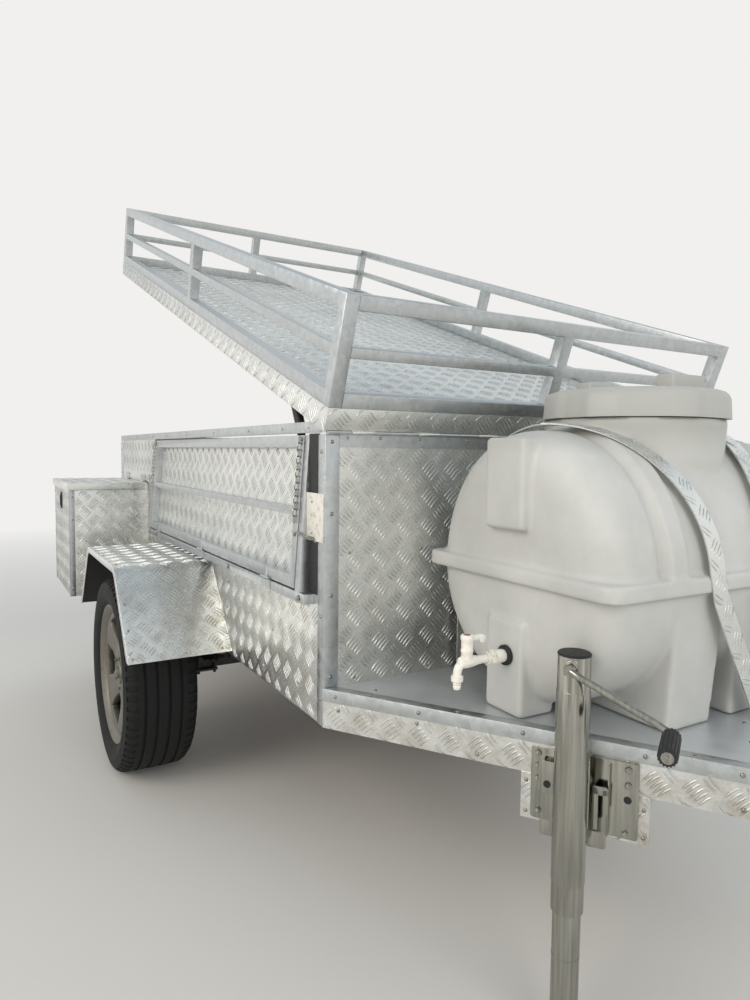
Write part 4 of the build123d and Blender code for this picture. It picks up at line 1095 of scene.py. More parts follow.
# Distance from the middle, and the shares of the width, of the rise above the belt and of the depth below it
TANK_END = ((250.0, 1.0, 1.0, 1.0), (300.0, 1.0, 1.0, 0.985), (330.0, 0.978, 0.985, 0.945),
            (348.0, 0.935, 0.955, 0.875), (361.0, 0.87, 0.90, 0.79), (370.0, 0.77, 0.81, 0.67),
            (374.0, 0.62, 0.66, 0.52), (376.0, 0.3, 0.3, 0.25))
BAND = (164.0, 226.0)
GROOVE_Y = 235.0
GROOVE_DEPTH = 11.0
FOOT_X = 276.0
FOOT_Y = (28.0, 182.0)
TANK_REACH = 399.8


def cut_level(obj, z, up=1):
    """Cut an object at a height in millimetres and close the cut; what is above stays, or below if up is -1."""
    with editing(obj):
        bpy.ops.mesh.bisect(plane_co=(0, 0, z * MM), plane_no=(0, 0, up), clear_inner=True, use_fill=True)
    return obj


def barrel(name, high, column, groove):
    """Turn the tank's barrel with its rounded ends, by its rise or its depth, with a groove beside each band."""
    rows = smooth_rows(TANK_END, 6)
    stations = [(-row[0], row[1], row[column]) for row in reversed(rows)]
    stations += [(y, 1.0, 1.0) for y in range(-246, 250, 6)]
    stations += [(row[0], row[1], row[column]) for row in rows]
    rings = []
    for y, wide, tall in stations:
        dip = groove * math.exp(-((abs(y) - GROOVE_Y) / 8) ** 2)
        rings.append((TANK_WIDE * wide - dip, y, high * tall - dip))
    return turned(name, rings, 96, (TANK_X, 0, TANK_Z), (0, 1, 0))


def tank():
    """Rotomoulded tank: barrel, ribs, belt, feet, end blocks and neck, melted into one skin with soft radii."""
    lower = cut_level(barrel("Lower barrel", TANK_DOWN, 3, 0.0), TANK_Z, -1)
    solids = [cut_level(barrel("Upper barrel", TANK_UP, 2, GROOVE_DEPTH), TANK_Z - 8), lower]
    axis = (TANK_X, 0, TANK_Z)
    for s in (-1, 1):
        outline = ((-30, BAND[0]), (-2, BAND[0]), (BAND_OUT, BAND[0] + 7), (BAND_OUT, BAND[1] - 7), (-2, BAND[1]),
                   (-30, BAND[1]))
        rings = [(TANK_WIDE + out, y, TANK_UP + out) for out, y in outline]
        rib = turned("Rib", rings, 96, axis, (0, s, 0), True)
        solids.append(cut_level(rib, TANK_Z - 10))
        y0, y1 = sorted((s * FOOT_Y[0], s * FOOT_Y[1]))
        foot = rounded_box("Foot", TANK_X - FOOT_X, TANK_X + FOOT_X, y0, y1, DECK_SEAT, TANK_Z - 30, 0)
        pick(foot)
        bpy.ops.object.mode_set(mode="EDIT")
        select_where(lambda middle, normal: normal.z < -0.5)
        bpy.ops.transform.resize(value=(0.925, 0.91, 1),
                                 center_override=(TANK_X * MM, (y0 + y1) / 2 * MM, DECK_SEAT * MM))
        bpy.ops.object.mode_set(mode="OBJECT")
        solids.append(bevel(foot, 7.0, 3))
        for part, half, near, far, low, high in (("Port", 58, 290, 387, DECK_SEAT, DECK_TOP + 205),
                                                 ("Badge", 60, 280, 398.5, DECK_TOP + 400, DECK_TOP + 595)):
            solids.append(rounded_box(part, TANK_X - half, TANK_X + half, s * near, s * far, low, high, 7, 3))
    solids.append(rounded_box("Belt", TANK_X - BELT_X, TANK_X + BELT_X, -390, 390, TANK_Z - 12, TANK_Z + 22,
                              2.0, 2, 36))
    solids.append(turned("Neck", ((196, 1060), (200, 1150), (202, 1205), (203, 1212), (203, 1229), (200, 1232.5)),
                         96, (TANK_X, 0, 0)))
    piece = join(solids, "water_tank_skin")
    pick(piece)
    remesh = piece.modifiers.new("Melted into one skin", "REMESH")
    remesh.mode = "VOXEL"
    remesh.voxel_size = 5.6 * MM
    soften = piece.modifiers.new("Moulded radii", "SMOOTH")
    soften.factor = 0.5
    soften.iterations = 2
    apply_modifiers(piece)
    for corner in piece.data.vertices:
        corner.co.z = max(corner.co.z, (DECK_TOP + 0.3) * MM)
        corner.co.y = max(min(corner.co.y, TANK_REACH * MM), -TANK_REACH * MM)
    dress(smooth(piece, 60.0), TANK_PLASTIC, "chassis", "water_tank")


def tank_lid():
    """Screw lid with eight lobes, upright seams beside each lobe, a rounded top and two lugs to turn it by."""
    z0 = DECK_TOP + 643.3
    lobes, steps = 8, 12
    deselect()
    bpy.ops.mesh.primitive_circle_add(vertices=lobes * steps, radius=1, fill_type="NGON", location=(0, 0, 0))
    cap = bpy.context.active_object
    for i, corner in enumerate(cap.data.vertices):
        turn = 2 * math.pi * i / (lobes * steps)
        radius = 205.5 + (7.0 if 0.25 <= (i % steps) / steps <= 0.75 else 0.0)
        corner.co = Vector((radius * math.cos(turn), radius * math.sin(turn), 0)) * MM
    with editing(cap):
        for rise, share in ((3, 1.0), (42, 0.985), (9, 0.982), (7, 0.965), (4.2, 0.93), (0.8, 0.5)):
            bpy.ops.mesh.extrude_region_move(TRANSFORM_OT_translate={"value": (0, 0, rise * MM)})
            bpy.ops.transform.resize(value=(share, share, 1), center_override=(0, 0, 0))
    cap.location = (TANK_X * MM, 0, z0 * MM)
    apply_place(cap)
    outward(cap)
    top = z0 + 66
    lugs = [rounded_box("Lug", TANK_X + x - 23, TANK_X + x + 23, y0, y1, top - 14, z0 + 97.5, 4, 3)
            for x, y0, y1 in ((118, -45, 65), (-118, -45, 45))]
    boss = turned("Boss", ((52, -6), (50, 6), (44, 9), (20, 10)), 40, (TANK_X, 0, top))
    piece = smooth(join([cap, boss] + lugs, "screw_lid"), 32.0)
    dress(piece, TANK_PLASTIC, "chassis", "tank_lid")


TAP_X = TANK_X + 10
TAP_Z = DECK_TOP + 129.0
TAP_FACE = -388.0


def tap():
    """White moulded tap: black washer, hexagon, tapered body, bonnet with a wing lever and a bent spout."""
    way = (0, -1, 0)
    at = (TAP_X, TAP_FACE, TAP_Z)
    washer = turned("tap_washer", ((13, 0), (22, 0), (22, 5), (20, 7.5), (13, 8)), 40, at, way, True)
    dress(smooth(washer), RUBBER, "chassis")
    body = turned("Body", ((13, 2), (14, 10), (14.5, 12), (14.5, 30), (13, 33), (11, 34), (11, 44), (12.5, 46),
                           (12.5, 50), (9.5, 53), (8.5, 62), (9.5, 78), (12, 92), (13, 104), (13, 116), (11, 122),
                           (5, 125)), 32, at, way)
    nut = turned("Hexagon", ((16, 34.5), (17, 36), (17, 44), (16, 45.5)), 6, at, way)
    ring = turned("Ring", ((11, 50), (13.5, 51), (13.5, 54), (11, 55)), 32, at, way, True)
    stem = (TAP_X, TAP_FACE - 105, TAP_Z)
    bonnet = turned("Bonnet", ((11, -4), (12.5, 8), (12, 20), (13.5, 22), (13.5, 25), (12, 27), (12.5, 44),
                               (14.2, 47), (14.2, 54), (12.5, 56.5), (4, 57.2)), 32, stem)
    lever = rounded_box("Lever", TAP_X - 5, TAP_X + 5, TAP_FACE - 96, TAP_FACE - 70, TAP_Z + 43, TAP_Z + 54, 3, 3)
    wing = turned("Wing", ((4, -6), (8.5, -5), (9.5, 0), (8.5, 5), (4, 6)), 24,
                  (TAP_X, TAP_FACE - 68, TAP_Z + 45), (1, 0, 0))
    bend = ((108, 0), (122, -5), (129, -18), (129.5, -34))
    spout = tube("Spout", [(TAP_X, TAP_FACE - out, TAP_Z + rise) for out, rise in bend], 9.0, 24)
    tip = turned("Tip", ((10, 0), (12.5, -1), (12.5, -11), (10, -13), (8, -14), (9, -17), (7.6, -20), (8.8, -23),
                         (7.4, -26), (7.2, -28.5), (5.0, -28.5), (5.0, -18)), 28,
                 (TAP_X, TAP_FACE - 129.5, TAP_Z - 25.5))
    piece = smooth(join([body, nut, ring, bonnet, lever, wing, spout, tip], "tap_moulded"), 40.0)
    dress(piece, TAP_PLASTIC, "chassis", "tap")
    dot = turned("tap_dot", ((7.0, 0), (7.0, 0.8), (5.5, 1.2)), 24, (TAP_X, TAP_FACE - 105, TAP_Z + 56.8))
    dress(smooth(dot), RED_LENS, "chassis")


# Wheels

TRACK = 840.0
RIM_LIP = 246.0
BEAD = 228.6


def tyres():
    """Worn road tyre: round shoulders cut across, four grooves round the tread and rings on the wall."""
    outline = [(BEAD + 0.6, -89.0), (BEAD + 3, -94), (RIM_LIP + 5, -103.5), (258, -110), (264, -113), (285, -118),
               (300, -119.3), (303, -118.2), (306, -119.2), (318, -116.5), (326, -114.5), (332, -109), (338, -102),
               (343.0, -92), (344.0, -80)]
    grooves = []
    for y in (-58, -20, 20, 58):
        grooves += [(344.8, y - 5), (338.0, y - 3.5), (338.0, y + 3.5), (344.8, y + 5)]
    rings = outline + grooves + [(r, -y) for r, y in reversed(outline)]
    for name, s in SIDES:
        tyre = turned("Tyre", rings, 128, (AXLE_X, s * TRACK, WHEEL_Z), (0, 1, 0), True)
        pick(tyre)
        bpy.ops.object.mode_set(mode="EDIT")
        mesh = bmesh.from_edit_mesh(tyre.data)
        for face in mesh.faces:
            middle = face.calc_center_median() / MM - Vector((AXLE_X, s * TRACK, WHEEL_Z))
            radius = math.hypot(middle.x, middle.z)
            step = round((math.atan2(middle.z, middle.x) / (2 * math.pi) * 128) - 0.5)
            face.select = step % 2 == 0 and 326 < radius < 344.4 and 84 < abs(middle.y) < 112
        bmesh.update_edit_mesh(tyre.data)
        bpy.ops.mesh.inset(thickness=0.9 * MM, depth=-3.5 * MM)
        bpy.ops.object.mode_set(mode="OBJECT")
        outward(tyre)
        smooth(tyre, 30.0)
        dress(tyre, TYRE, "wheel_" + name, "tyre_" + name)


def spoke_wheel(s):
    """Alloy wheel: turned barrel and lips, and a dished face of five broad spokes with small windows between."""
    rim = turned("Rim", ((RIM_LIP, -103.5), (RIM_LIP, -99), (232, -95), (BEAD, -90), (BEAD, -60), (214, -48),
                         (214, 40), (BEAD, 56), (BEAD, 90), (232, 95), (RIM_LIP, 99), (RIM_LIP, 103.5),
                         (RIM_LIP - 5, 103.5), (RIM_LIP - 12, 98), (221, 88), (216, 78), (207, 40), (207, -48),
                         (221, -88), (RIM_LIP - 9, -103.5)), 96, closed=True)
    sides, windows = 100, 5
    profile = ((42.0, 76), (60.0, 80), (74.0, 78), (92.0, 74), (112.0, 73), (134.0, 75), (156.0, 79), (178.0, 83),
               (198.0, 86), (218.0, 86))
    half_windows = {3: 0.13, 4: 0.21, 5: 0.25, 6: 0.27, 7: 0.24}
    verts, faces = [], []
    for back in (0.0, 22.0):
        for r, depth in profile:
            for k in range(sides):
                a = 2 * math.pi * k / sides
                share = (k * windows / sides) % 1.0
                crown = 3.0 * math.cos(2 * math.pi * share) if 80 < r < 210 else 0.0
                verts.append(Vector((r * math.cos(a), r * math.sin(a), depth + crown - back)) * MM)
    count = len(profile) * sides

    def open_at(row, k):
        share = ((k + 0.5) * windows / sides) % 1.0
        return row in half_windows and abs(share - 0.5) < half_windows[row]

    for row in range(len(profile) - 1):
        for k in range(sides):
            n = (k + 1) % sides
            if open_at(row, k):
                continue
            quad = (row * sides + k, (row + 1) * sides + k, (row + 1) * sides + n, row * sides + n)
            faces.append(quad)
            faces.append(tuple(count + i for i in reversed(quad)))
            for other_row, other_k, a, b in ((row, (k + 1) % sides, 3, 2), (row, (k - 1) % sides, 1, 0)):
                if open_at(other_row, other_k):
                    faces.append((quad[b], quad[a], count + quad[a], count + quad[b]))
            if open_at(row + 1, k):
                faces.append((quad[2], quad[1], count + quad[1], count + quad[2]))
            if open_at(row - 1, k):
                faces.append((quad[0], quad[3], count + quad[3], count + quad[0]))
    inner, outer = range(sides), range((len(profile) - 1) * sides, len(profile) * sides)
    for k in range(sides):
        n = (k + 1) % sides
        faces.append((inner[n], inner[k], count + inner[k], count + inner[n]))
        faces.append((outer[k], outer[n], count + outer[n], count + outer[k]))
    disc = new_object("Disc", verts, faces)
    outward(disc)
    bevel(disc, 2.5, 2, 40.0)
    cap = turned("Cap", ((20, 60), (41.8, 60), (41.8, 78), (38, 82), (34, 80), (22, 80), (20, 88), (14, 90)), 48)
    hub = turned("Hub", ((15.5, -68), (60, -68), (60, 58), (15.5, 58)), 48, closed=True)
    turns = [2 * math.pi * i / windows for i in range(windows)]
    nuts = copies("Nuts", bolts([(57 * math.cos(a), 57 * math.sin(a), 78.5) for a in turns], (0, 0, 1), 8.5))
    wheel = join([rim, disc, cap, hub, nuts], "rim")
    wheel.matrix_world = facing((AXLE_X, s * TRACK, WHEEL_Z), (0, s, 0))
    apply_place(wheel)
    return outward(wheel)


def rims():
    """Both alloy wheels, faces outwards."""
    for name, s in SIDES:
        wheel = spoke_wheel(s)
        wheel.name = wheel.data.name = "alloy_wheel_" + name
        dress(smooth(wheel, 35.0), ALLOY, "wheel_" + name, "rim_" + name)
        drum = turned("brake_drum_" + name, ((61, 20), (61, 46), (206, 38), (206, 20)), 64,
                      (AXLE_X, s * TRACK, WHEEL_Z), (0, s, 0), True)
        dress(smooth(drum), ENAMEL, "wheel_" + name)


# Jack stand

JACK_ALONG = 587.0
JACK_OFFSET = 66.0
JACK_R = 31.0
LEG_R = 26.8
JACK_TOP = 779.0
SLEEVE_BOTTOM = 273.0
EDGE_WAY = Vector((math.cos(DRAWBAR_ANGLE), math.sin(DRAWBAR_ANGLE), 0))
EDGE_OUT = Vector((math.sin(DRAWBAR_ANGLE), -math.cos(DRAWBAR_ANGLE), 0))
JACK = Vector((WALL_X, -HALF_WIDTH, 0)) + EDGE_WAY * JACK_ALONG + EDGE_OUT * JACK_OFFSET
CRANK_DROP = math.radians(25.5)
CRANK_WAY = Vector((EDGE_WAY.x * math.cos(CRANK_DROP), EDGE_WAY.y * math.cos(CRANK_DROP),
                    -math.sin(CRANK_DROP)))


def edge_turn(obj):
    """Turn a piece, built along X and out along -Y from the jack's middle, to the platform's right edge."""
    obj.matrix_world = Matrix.Translation(JACK * MM) @ Matrix.Rotation(DRAWBAR_ANGLE, 4, "Z")
    return apply_place(obj)


def jack_tube():
    """Jack's outer tube: cap, screw, welded patch, crank boss and the long thin sleeve lower down."""
    at = (JACK.x, JACK.y, 0)
    shell = turned("Tube", ((JACK_R - 3.5, SLEEVE_BOTTOM), (JACK_R, SLEEVE_BOTTOM), (JACK_R, 773),
                            (JACK_R - 0.8, 774.5), (5, 774.5), (5, 690), (JACK_R - 3.5, 690)), 64, at, closed=True)
    sleeve = turned("Sleeve", ((JACK_R - 1, 330), (JACK_R + 0.6, 330), (JACK_R + 1.2, 332),
                               (JACK_R + 1.2, 705.0), (JACK_R + 0.6, 706.5), (JACK_R - 1, 706.5)), 64, at,
                    closed=True)
    boss_at = JACK + EDGE_OUT * (JACK_R - 3) + Vector((0, 0, JACK_TOP - 24))
    boss = turned("Boss", ((11.5, 0), (11.5, 3), (13.5, 3.2), (13.5, 5.5), (12.5, 6.0), (4, 6.0)), 32, boss_at,
                  EDGE_OUT)
    patch = rounded_box("Patch", -13, 13, -JACK_R - 0.8, -JACK_R + 6, 740, 771, 0.8)
    screw = copies("Screw", rivets([JACK + EDGE_OUT * JACK_R + Vector((0, 0, 769.0))], EDGE_OUT, 2.6))
    piece = join([shell, sleeve, boss, edge_turn(patch), screw], "jack_outer_tube")
    dress(smooth(piece, 35.0), ZINC, "jack", "jack_tube")
    cap = turned("jack_cap", ((12, 773.5), (JACK_R + 0.6, 773.5), (JACK_R + 0.6, 776), (JACK_R - 1.5, 778.3),
                              (14, 778.8)), 64, at)
    dress(smooth(cap), RUBBER, "jack")


def jack_crank():
    """Crank arm with its grip: a ribbed black sleeve held by a washer and a nut."""
    start = JACK + EDGE_OUT * (JACK_R + 2.6) + Vector((0, 0, JACK_TOP - 24))
    knee = start + EDGE_OUT * 13.7
    end = knee + CRANK_WAY * 196
    arm = tube("Arm", [start, start + EDGE_OUT * 8, knee + CRANK_WAY * 8, knee + CRANK_WAY * 60,
                       knee + CRANK_WAY * 120, end - CRANK_WAY * 12, end + EDGE_OUT * 6, end + EDGE_OUT * 14],
               6.8, 20)
    boss = turned("Boss", ((10.6, -1), (10.6, 14), (9.5, 16), (4, 16)), 28, start, EDGE_OUT)
    pin = turned("Pin", ((6.6, -4), (6.6, 108.5), (5.5, 109.5), (2, 109.5)), 24, end, EDGE_OUT)
    washer = turned("Washer", ((4, 110.2), (10, 110.2), (10, 111.8), (4, 111.8)), 28, end - EDGE_OUT * 2.0,
                    EDGE_OUT)
    nut = copies("Nut", bolts([end + EDGE_OUT * 105.5], EDGE_OUT, 7.0))
    piece = join([arm, boss, pin, washer, nut], "jack_crank_arm")
    dress(smooth(piece, 35.0), ZINC, "jack", "jack_crank")
    grip = turned("jack_grip_ribbed", ((7.6, 10.5), (12.5, 10.5), (15.8, 13), (16.2, 20), (16.2, 101),
                                       (15.8, 107), (13, 109.5), (7.6, 109.5)), 96, end, EDGE_OUT, True)
    for corner in grip.data.vertices:
        local = corner.co / MM - end
        along = local.dot(EDGE_OUT)
        radial = local - EDGE_OUT * along
        if radial.length > 14 and 12 < along < 108:
            turn = math.atan2(radial.z, radial.dot(EDGE_WAY))
            corner.co -= radial.normalized() * (1.5 if math.cos(turn * 16) < -0.2 else 0.0) * MM
    dress(smooth(grip, 25.0), RUBBER, "jack", "jack_grip")


def jack_foot():
    """Inner tube of the jack, its weld ring and its pressed square foot."""
    at = (JACK.x, JACK.y, 0)
    leg = turned("Leg", ((12, 3), (LEG_R, 3), (LEG_R, 478.5), (LEG_R - 1, 480), (12, 480)), 64, at, closed=True)
    weld = turned("Weld", ((LEG_R - 1, 7), (LEG_R + 7, 7.5), (LEG_R + 5, 11), (LEG_R + 2, 13.5),
                           (LEG_R - 0.2, 15)), 64, at, closed=True)
    ridges = turned("Ridge", ((LEG_R - 1, 178), (LEG_R + 0.4, 179), (LEG_R + 0.4, 183), (LEG_R - 1, 184)), 64,
                    at, closed=True)
    plate = rounded_box("Plate", -55, 55, -55, 55, 0, 8, 2.5, 3, 10)
    piece = join([leg, weld, ridges, edge_turn(plate)], "jack_inner_tube")
    dress(smooth(piece, 35.0), ZINC, "jack_leg", "jack_leg")


def jack_bracket():
    """Bracket that the jack swings on: a tread-plate block on the rail, two plates with their holes drawn as black
    rings of painted shade, ears and bolts.
    """
    front = JACK_OFFSET - 3.0
    back = JACK - EDGE_OUT * front
    face = JACK - EDGE_OUT * (JACK_OFFSET - 9.0)
    block = rounded_box("jack_mount_plate", -112, 138, front, front + 53, 400, 497, 1.0)
    dress(edge_turn(block), TREAD, "chassis")
    place = flat(back, EDGE_WAY, (0, 0, 1))
    dress(tread("jack_mount_bars", [(place, -111, 137, 401, 496, 0, 10)]), TREAD, "chassis")
    plates = [rounded_box(name, x0, x1, front + out, front + inward, z0, z1, edge, 2, corner, "Y")
              for name, x0, x1, out, inward, z0, z1, edge, corner in (
                  ("Left", -90, -26, -6, 0, 408, 557, 0.8, 5),
                  ("Right", 26, 118, -6, 0, 408, 560, 0.8, 5),
                  ("Middle", -28, 28, -4, 0, 410, 548, 0.8, 0),
                  ("Left web", -31, -28, -22, -3, 412, 540, 0.8, 0),
                  ("Right web", 62, 65, -20, -3, 412, 552, 0.8, 0),
                  ("Left ear", -70, -31, -29, -25, 474, 540, 1.6, 9),
                  ("Hook", 34, 66, -29, -25, 494, 512, 1.6, 7),
                  ("Hook's long leg", 34, 47, -29, -25, 424, 508, 1.6, 4),
                  ("Hook's short leg", 54, 66, -29, -25, 456, 508, 1.6, 4),
                  ("Ear arm", 34, 38, -27, -3, 466, 508, 0.8, 0),
                  ("Drop", -70, 60, -3, 0, 374, 412, 0.8, 6))]
    stub = turned("Stub", ((20, 0), (20, JACK_OFFSET - 36.0), (6, JACK_OFFSET - 36.0)), 48,
                  JACK - EDGE_OUT * (JACK_OFFSET - 3.2) + Vector((0, 0, 500)), EDGE_OUT)
    piece = join([edge_turn(join(plates, "Plates")), stub], "jack_bracket_plates")
    dress(smooth(piece, 35.0), ZINC, "chassis", "jack_bracket")
    heads = ((-76, 545), (-76, 518), (-76, 492), (-74, 424), (98, 546), (98, 515), (95, 418))
    stamps = bolts([face + EDGE_WAY * x + Vector((0, 0, z)) for x, z in heads], EDGE_OUT, 8.5)
    ends = ((-101, 480), (128, 470), (128, 415), (-101, 415))
    stamps += rivets([back + EDGE_WAY * x + Vector((0, 0, z)) for x, z in ends], EDGE_OUT, 4.5)
    # Black rings on the plates' faces are painted shade that stands for the holes through them.
    hole_shade_rings = [turned("Painted hole shade", ((3, 0), (7.5, 0), (7.5, 0.5), (3, 0.5)), 24,
                    face + EDGE_WAY * x + EDGE_OUT * proud + Vector((0, 0, z)), EDGE_OUT)
             for x, z, proud in ((-52, 494, 23.2), (98, 486, 0.0))]
    dress(smooth(join(hole_shade_rings, "jack_bracket_hole_shade")), RUBBER, "chassis")
    dress(smooth(copies("jack_bracket_bolts", stamps), 40.0), ZINC, "chassis")


# Hatch chains, latch plates and the gas struts

def link():
    """Model one link of chain: a ring of round bar drawn out lengthways, 22 by 13 millimetres."""
    deselect()
    bpy.ops.mesh.primitive_torus_add(major_segments=14, minor_segments=6, major_radius=5.0 * MM,
                                     minor_radius=1.5 * MM)
    ring = bpy.context.active_object
    for corner in ring.data.vertices:
        corner.co.x += (4.6 if corner.co.x > 0 else -4.6) * MM
    return take(ring)


def chain(points):
    """Stamps of links along points in millimetres, each turned a quarter from the last."""
    stamps, spare = [], 0.0
    pitch, turned_once = 16.4, False
    for a, b in zip(points, points[1:]):
        a, b = Vector(a), Vector(b)
        way, run = (b - a).normalized(), (b - a).length
        at = spare
        while at < run:
            side = way.orthogonal() if abs(way.z) < 0.9 else way.cross(Vector((1, 0, 0)))
            frame_3 = Matrix((way, way.cross(side).normalized(), side.normalized())).transposed()
            twist = Matrix.Rotation(math.pi / 2, 3, "X") if turned_once else Matrix.Identity(3)
            place = Matrix.Translation((a + way * at) * MM) @ (frame_3 @ twist).to_4x4()
            stamps.append((shape("link", link), place))
            at, turned_once = at + pitch, not turned_once
        spare = at - run
    return stamps


def hatch_chains():
    """Link chains down both ends of each hatch, held by a screw at the top and hanging by their own weight."""
    rise = (HATCH_TOP - HATCH_BOTTOM) / math.cos(LEAN)
    for name, s in SIDES:
        face = hatch_place(s)
        stamps = []
        half = (HATCH_X[1] - HATCH_X[0]) / 2 - HATCH_TUBE / 2
        for x in (-half, half):
            line = [face(x, rise - 12 - t * 16, 4.6) for t in range(14)]
            stamps += chain(line)
            stamps += bolts([face(x, rise - 10, 0)], face(0, 0, 10) - face(0, 0, 0), 6.0)
        piece = copies("hatch_link_chains_" + name, stamps)
        dress(smooth(piece, 40.0), ZINC, "hatch_" + name, "hatch_chains_" + name)


def hatch_latches():
    """Black sheet painted as the shade in the gap at each hatch's front end, a pale plate there and its hook rod,
    as on the photograph's side.
    """
    for name, s in SIDES:
        # A thin black sheet on the wall is painted shade where the gap between hatch and front wall lies.
        gap_shade_sheet = rounded_box("hatch_gap_shade_" + name, HATCH_X[1] + JAMB, WALL_X - LEG, s * HALF_WIDTH,
                             s * (HALF_WIDTH + 1.2), STRIP_TOP, TOP_STRIP - 2, 0)
        dress(gap_shade_sheet, RUBBER, "chassis")
        plate = rounded_box("latch_plate_" + name, WALL_X - 96, WALL_X - 2, s * (HALF_WIDTH + 3),
                            s * (HALF_WIDTH + 7), 937, 1052, 1.0)
        dress(smooth(plate), WHITE_PLATE, "chassis", *(("hatch_latches",) if s < 0 else ()))
        bends = ((42, 4, 935), (44, 10, 942), (75, 19, 946), (108, 29, 952), (114, 28, 944))
        rod = tube("Rod", [(WALL_X - behind, s * (HALF_WIDTH + out), z) for behind, out, z in bends], 3.6)
        spots = [(WALL_X - 60, s * (HALF_WIDTH + 7), z) for z in (955, 1030)]
        screws = copies("Screws", rivets(spots, (0, s, 0), 3.5))
        dress(smooth(join([rod, screws], "latch_rod_" + name)), ZINC, "chassis")


STRUT_FOOT = Vector((WALL_X - 70.0, 0, 890.0))
STRUT_HEAD = lid_point(-330.0, 0, 4.0)
STRUT_Y = 612.0


def struts():
    """Gas struts: black cylinder with a rolled end, bright rod, both eyes, and a shroud over the rod's head."""
    way = (STRUT_HEAD - STRUT_FOOT).normalized()
    for name, s in SIDES:
        foot = STRUT_FOOT + Vector((0, s * STRUT_Y, 0))
        head = STRUT_HEAD + Vector((0, s * STRUT_Y, 0))
        body = turned("Body", ((3, 8), (8.4, 8), (9.8, 11), (9.8, 322), (9.0, 326), (7.4, 329.5), (4.4, 330),
                               (4.4, 118), (3, 117)), 32, foot, way, True)
        eye = turned("Eye", ((4.4, -4), (11, -4), (11, 4), (4.4, 4)), 28, foot, (0, 1, 0), True)
        cylinder = "strut_cylinder_" + name
        dress(smooth(join([body, eye], "strut_body_" + name)), ENAMEL, cylinder, cylinder)
        length = (head - foot).length
        rod = turned("Rod", ((3.95, 232), (3.95, length - 12), (2, length - 12)), 24, foot, way)
        ring = turned("Ring", ((9.6, -3), (14, -3), (14, 3), (9.6, 3)), 36, head, (0, 1, 0), True)
        outline = ((11.8, 150), (13.4, 149), (13.4, 22), (12, 17), (3.5, 16), (3.5, 19), (11.8, 20))
        shroud = turned("strut_shroud_" + name, [(r, length - back) for r, back in outline], 32, foot, way, True)
        dress(smooth(shroud), ENAMEL, "strut_rod_" + name)
        dress(smooth(join([rod, ring], "strut_shaft_" + name)), ZINC, "strut_rod_" + name, "strut_rod_" + name)


def tail_lamps():
    """Tail lamps, red with an amber band at the outer end, and a small red lamp above each, at the corner."""
    for name, s in SIDES:
        housing = rounded_box("tail_lamp_housing_" + name, REAR_X - 14, REAR_X, s * 480, s * 620, 520, 610, 3, 2)
        dress(smooth(housing), RUBBER, "chassis", *(("tail_lamps",) if s < 0 else ()))
        for part, y0, y1, finish in (("red", 486, 575, RED_LENS), ("amber", 576, 614, AMBER_LENS)):
            glass = rounded_box("tail_lamp_" + part + "_" + name, REAR_X - 23.8, REAR_X - 12, s * y0, s * y1,
                                526, 604, 5, 4)
            dress(smooth(glass), finish, "chassis")
        base = rounded_box("marker_lamp_base_" + name, REAR_X - 9, REAR_X - 3.2, s * 630, s * 660,
                           1105, 1185, 2, 2)
        dress(smooth(base), RUBBER, "chassis")
        glass = rounded_box("marker_lamp_" + name, REAR_X - 23.8, REAR_X - 8.5, s * 632.5, s * 657.5,
                            1108, 1182, 5, 4)
        dress(smooth(glass), RED_LENS, "chassis")


# Camera, floor and light

FOCAL = 698.5
IMAGE_HEIGHT = 1000.0
EYE = Vector((2106.7, -1380.9, 1149.8))
YAW, PITCH, ROLL = 0.5307, 0.068, 0.0119
FLOOR_FADE = (3.2, 9.0)


def place_camera():
    """Put the camera where the photograph was taken from."""
    level = Vector((-math.cos(YAW), math.sin(YAW), 0))
    right = Vector((math.sin(YAW), math.cos(YAW), 0))
    ahead = level * math.cos(PITCH) - Vector((0, 0, math.sin(PITCH)))
    up = level * math.sin(PITCH) + Vector((0, 0, math.cos(PITCH)))
    across = right * math.cos(ROLL) + up * math.sin(ROLL)
    upright = up * math.cos(ROLL) - right * math.sin(ROLL)
    data = bpy.data.cameras.new("Photograph")
    data.sensor_width = 36.0
    data.lens = FOCAL / IMAGE_HEIGHT * data.sensor_width
    data.clip_start = 0.05
    data.clip_end = 200.0
    camera = bpy.data.objects.new("Photograph", data)
    bpy.context.scene.collection.objects.link(camera)
    turn = Matrix((across, upright, -ahead)).transposed().to_4x4()
    camera.matrix_world = Matrix.Translation(EYE * MM) @ turn
    bpy.context.scene.camera = camera


def lamp(name, place, aim, size, power, colour):
    """Add one soft square lamp in metres and watts, aimed at a point."""
    data = bpy.data.lights.new(name, "AREA")
    data.shape = "RECTANGLE"
    data.size, data.size_y = size
    data.energy = power
    data.color = linear(colour)[:3]
    obj = bpy.data.objects.new(name, data)
    bpy.context.scene.collection.objects.link(obj)
    obj.location = place
    obj.rotation_euler = (Vector(aim) - Vector(place)).to_track_quat("-Z", "Y").to_euler()
    return obj


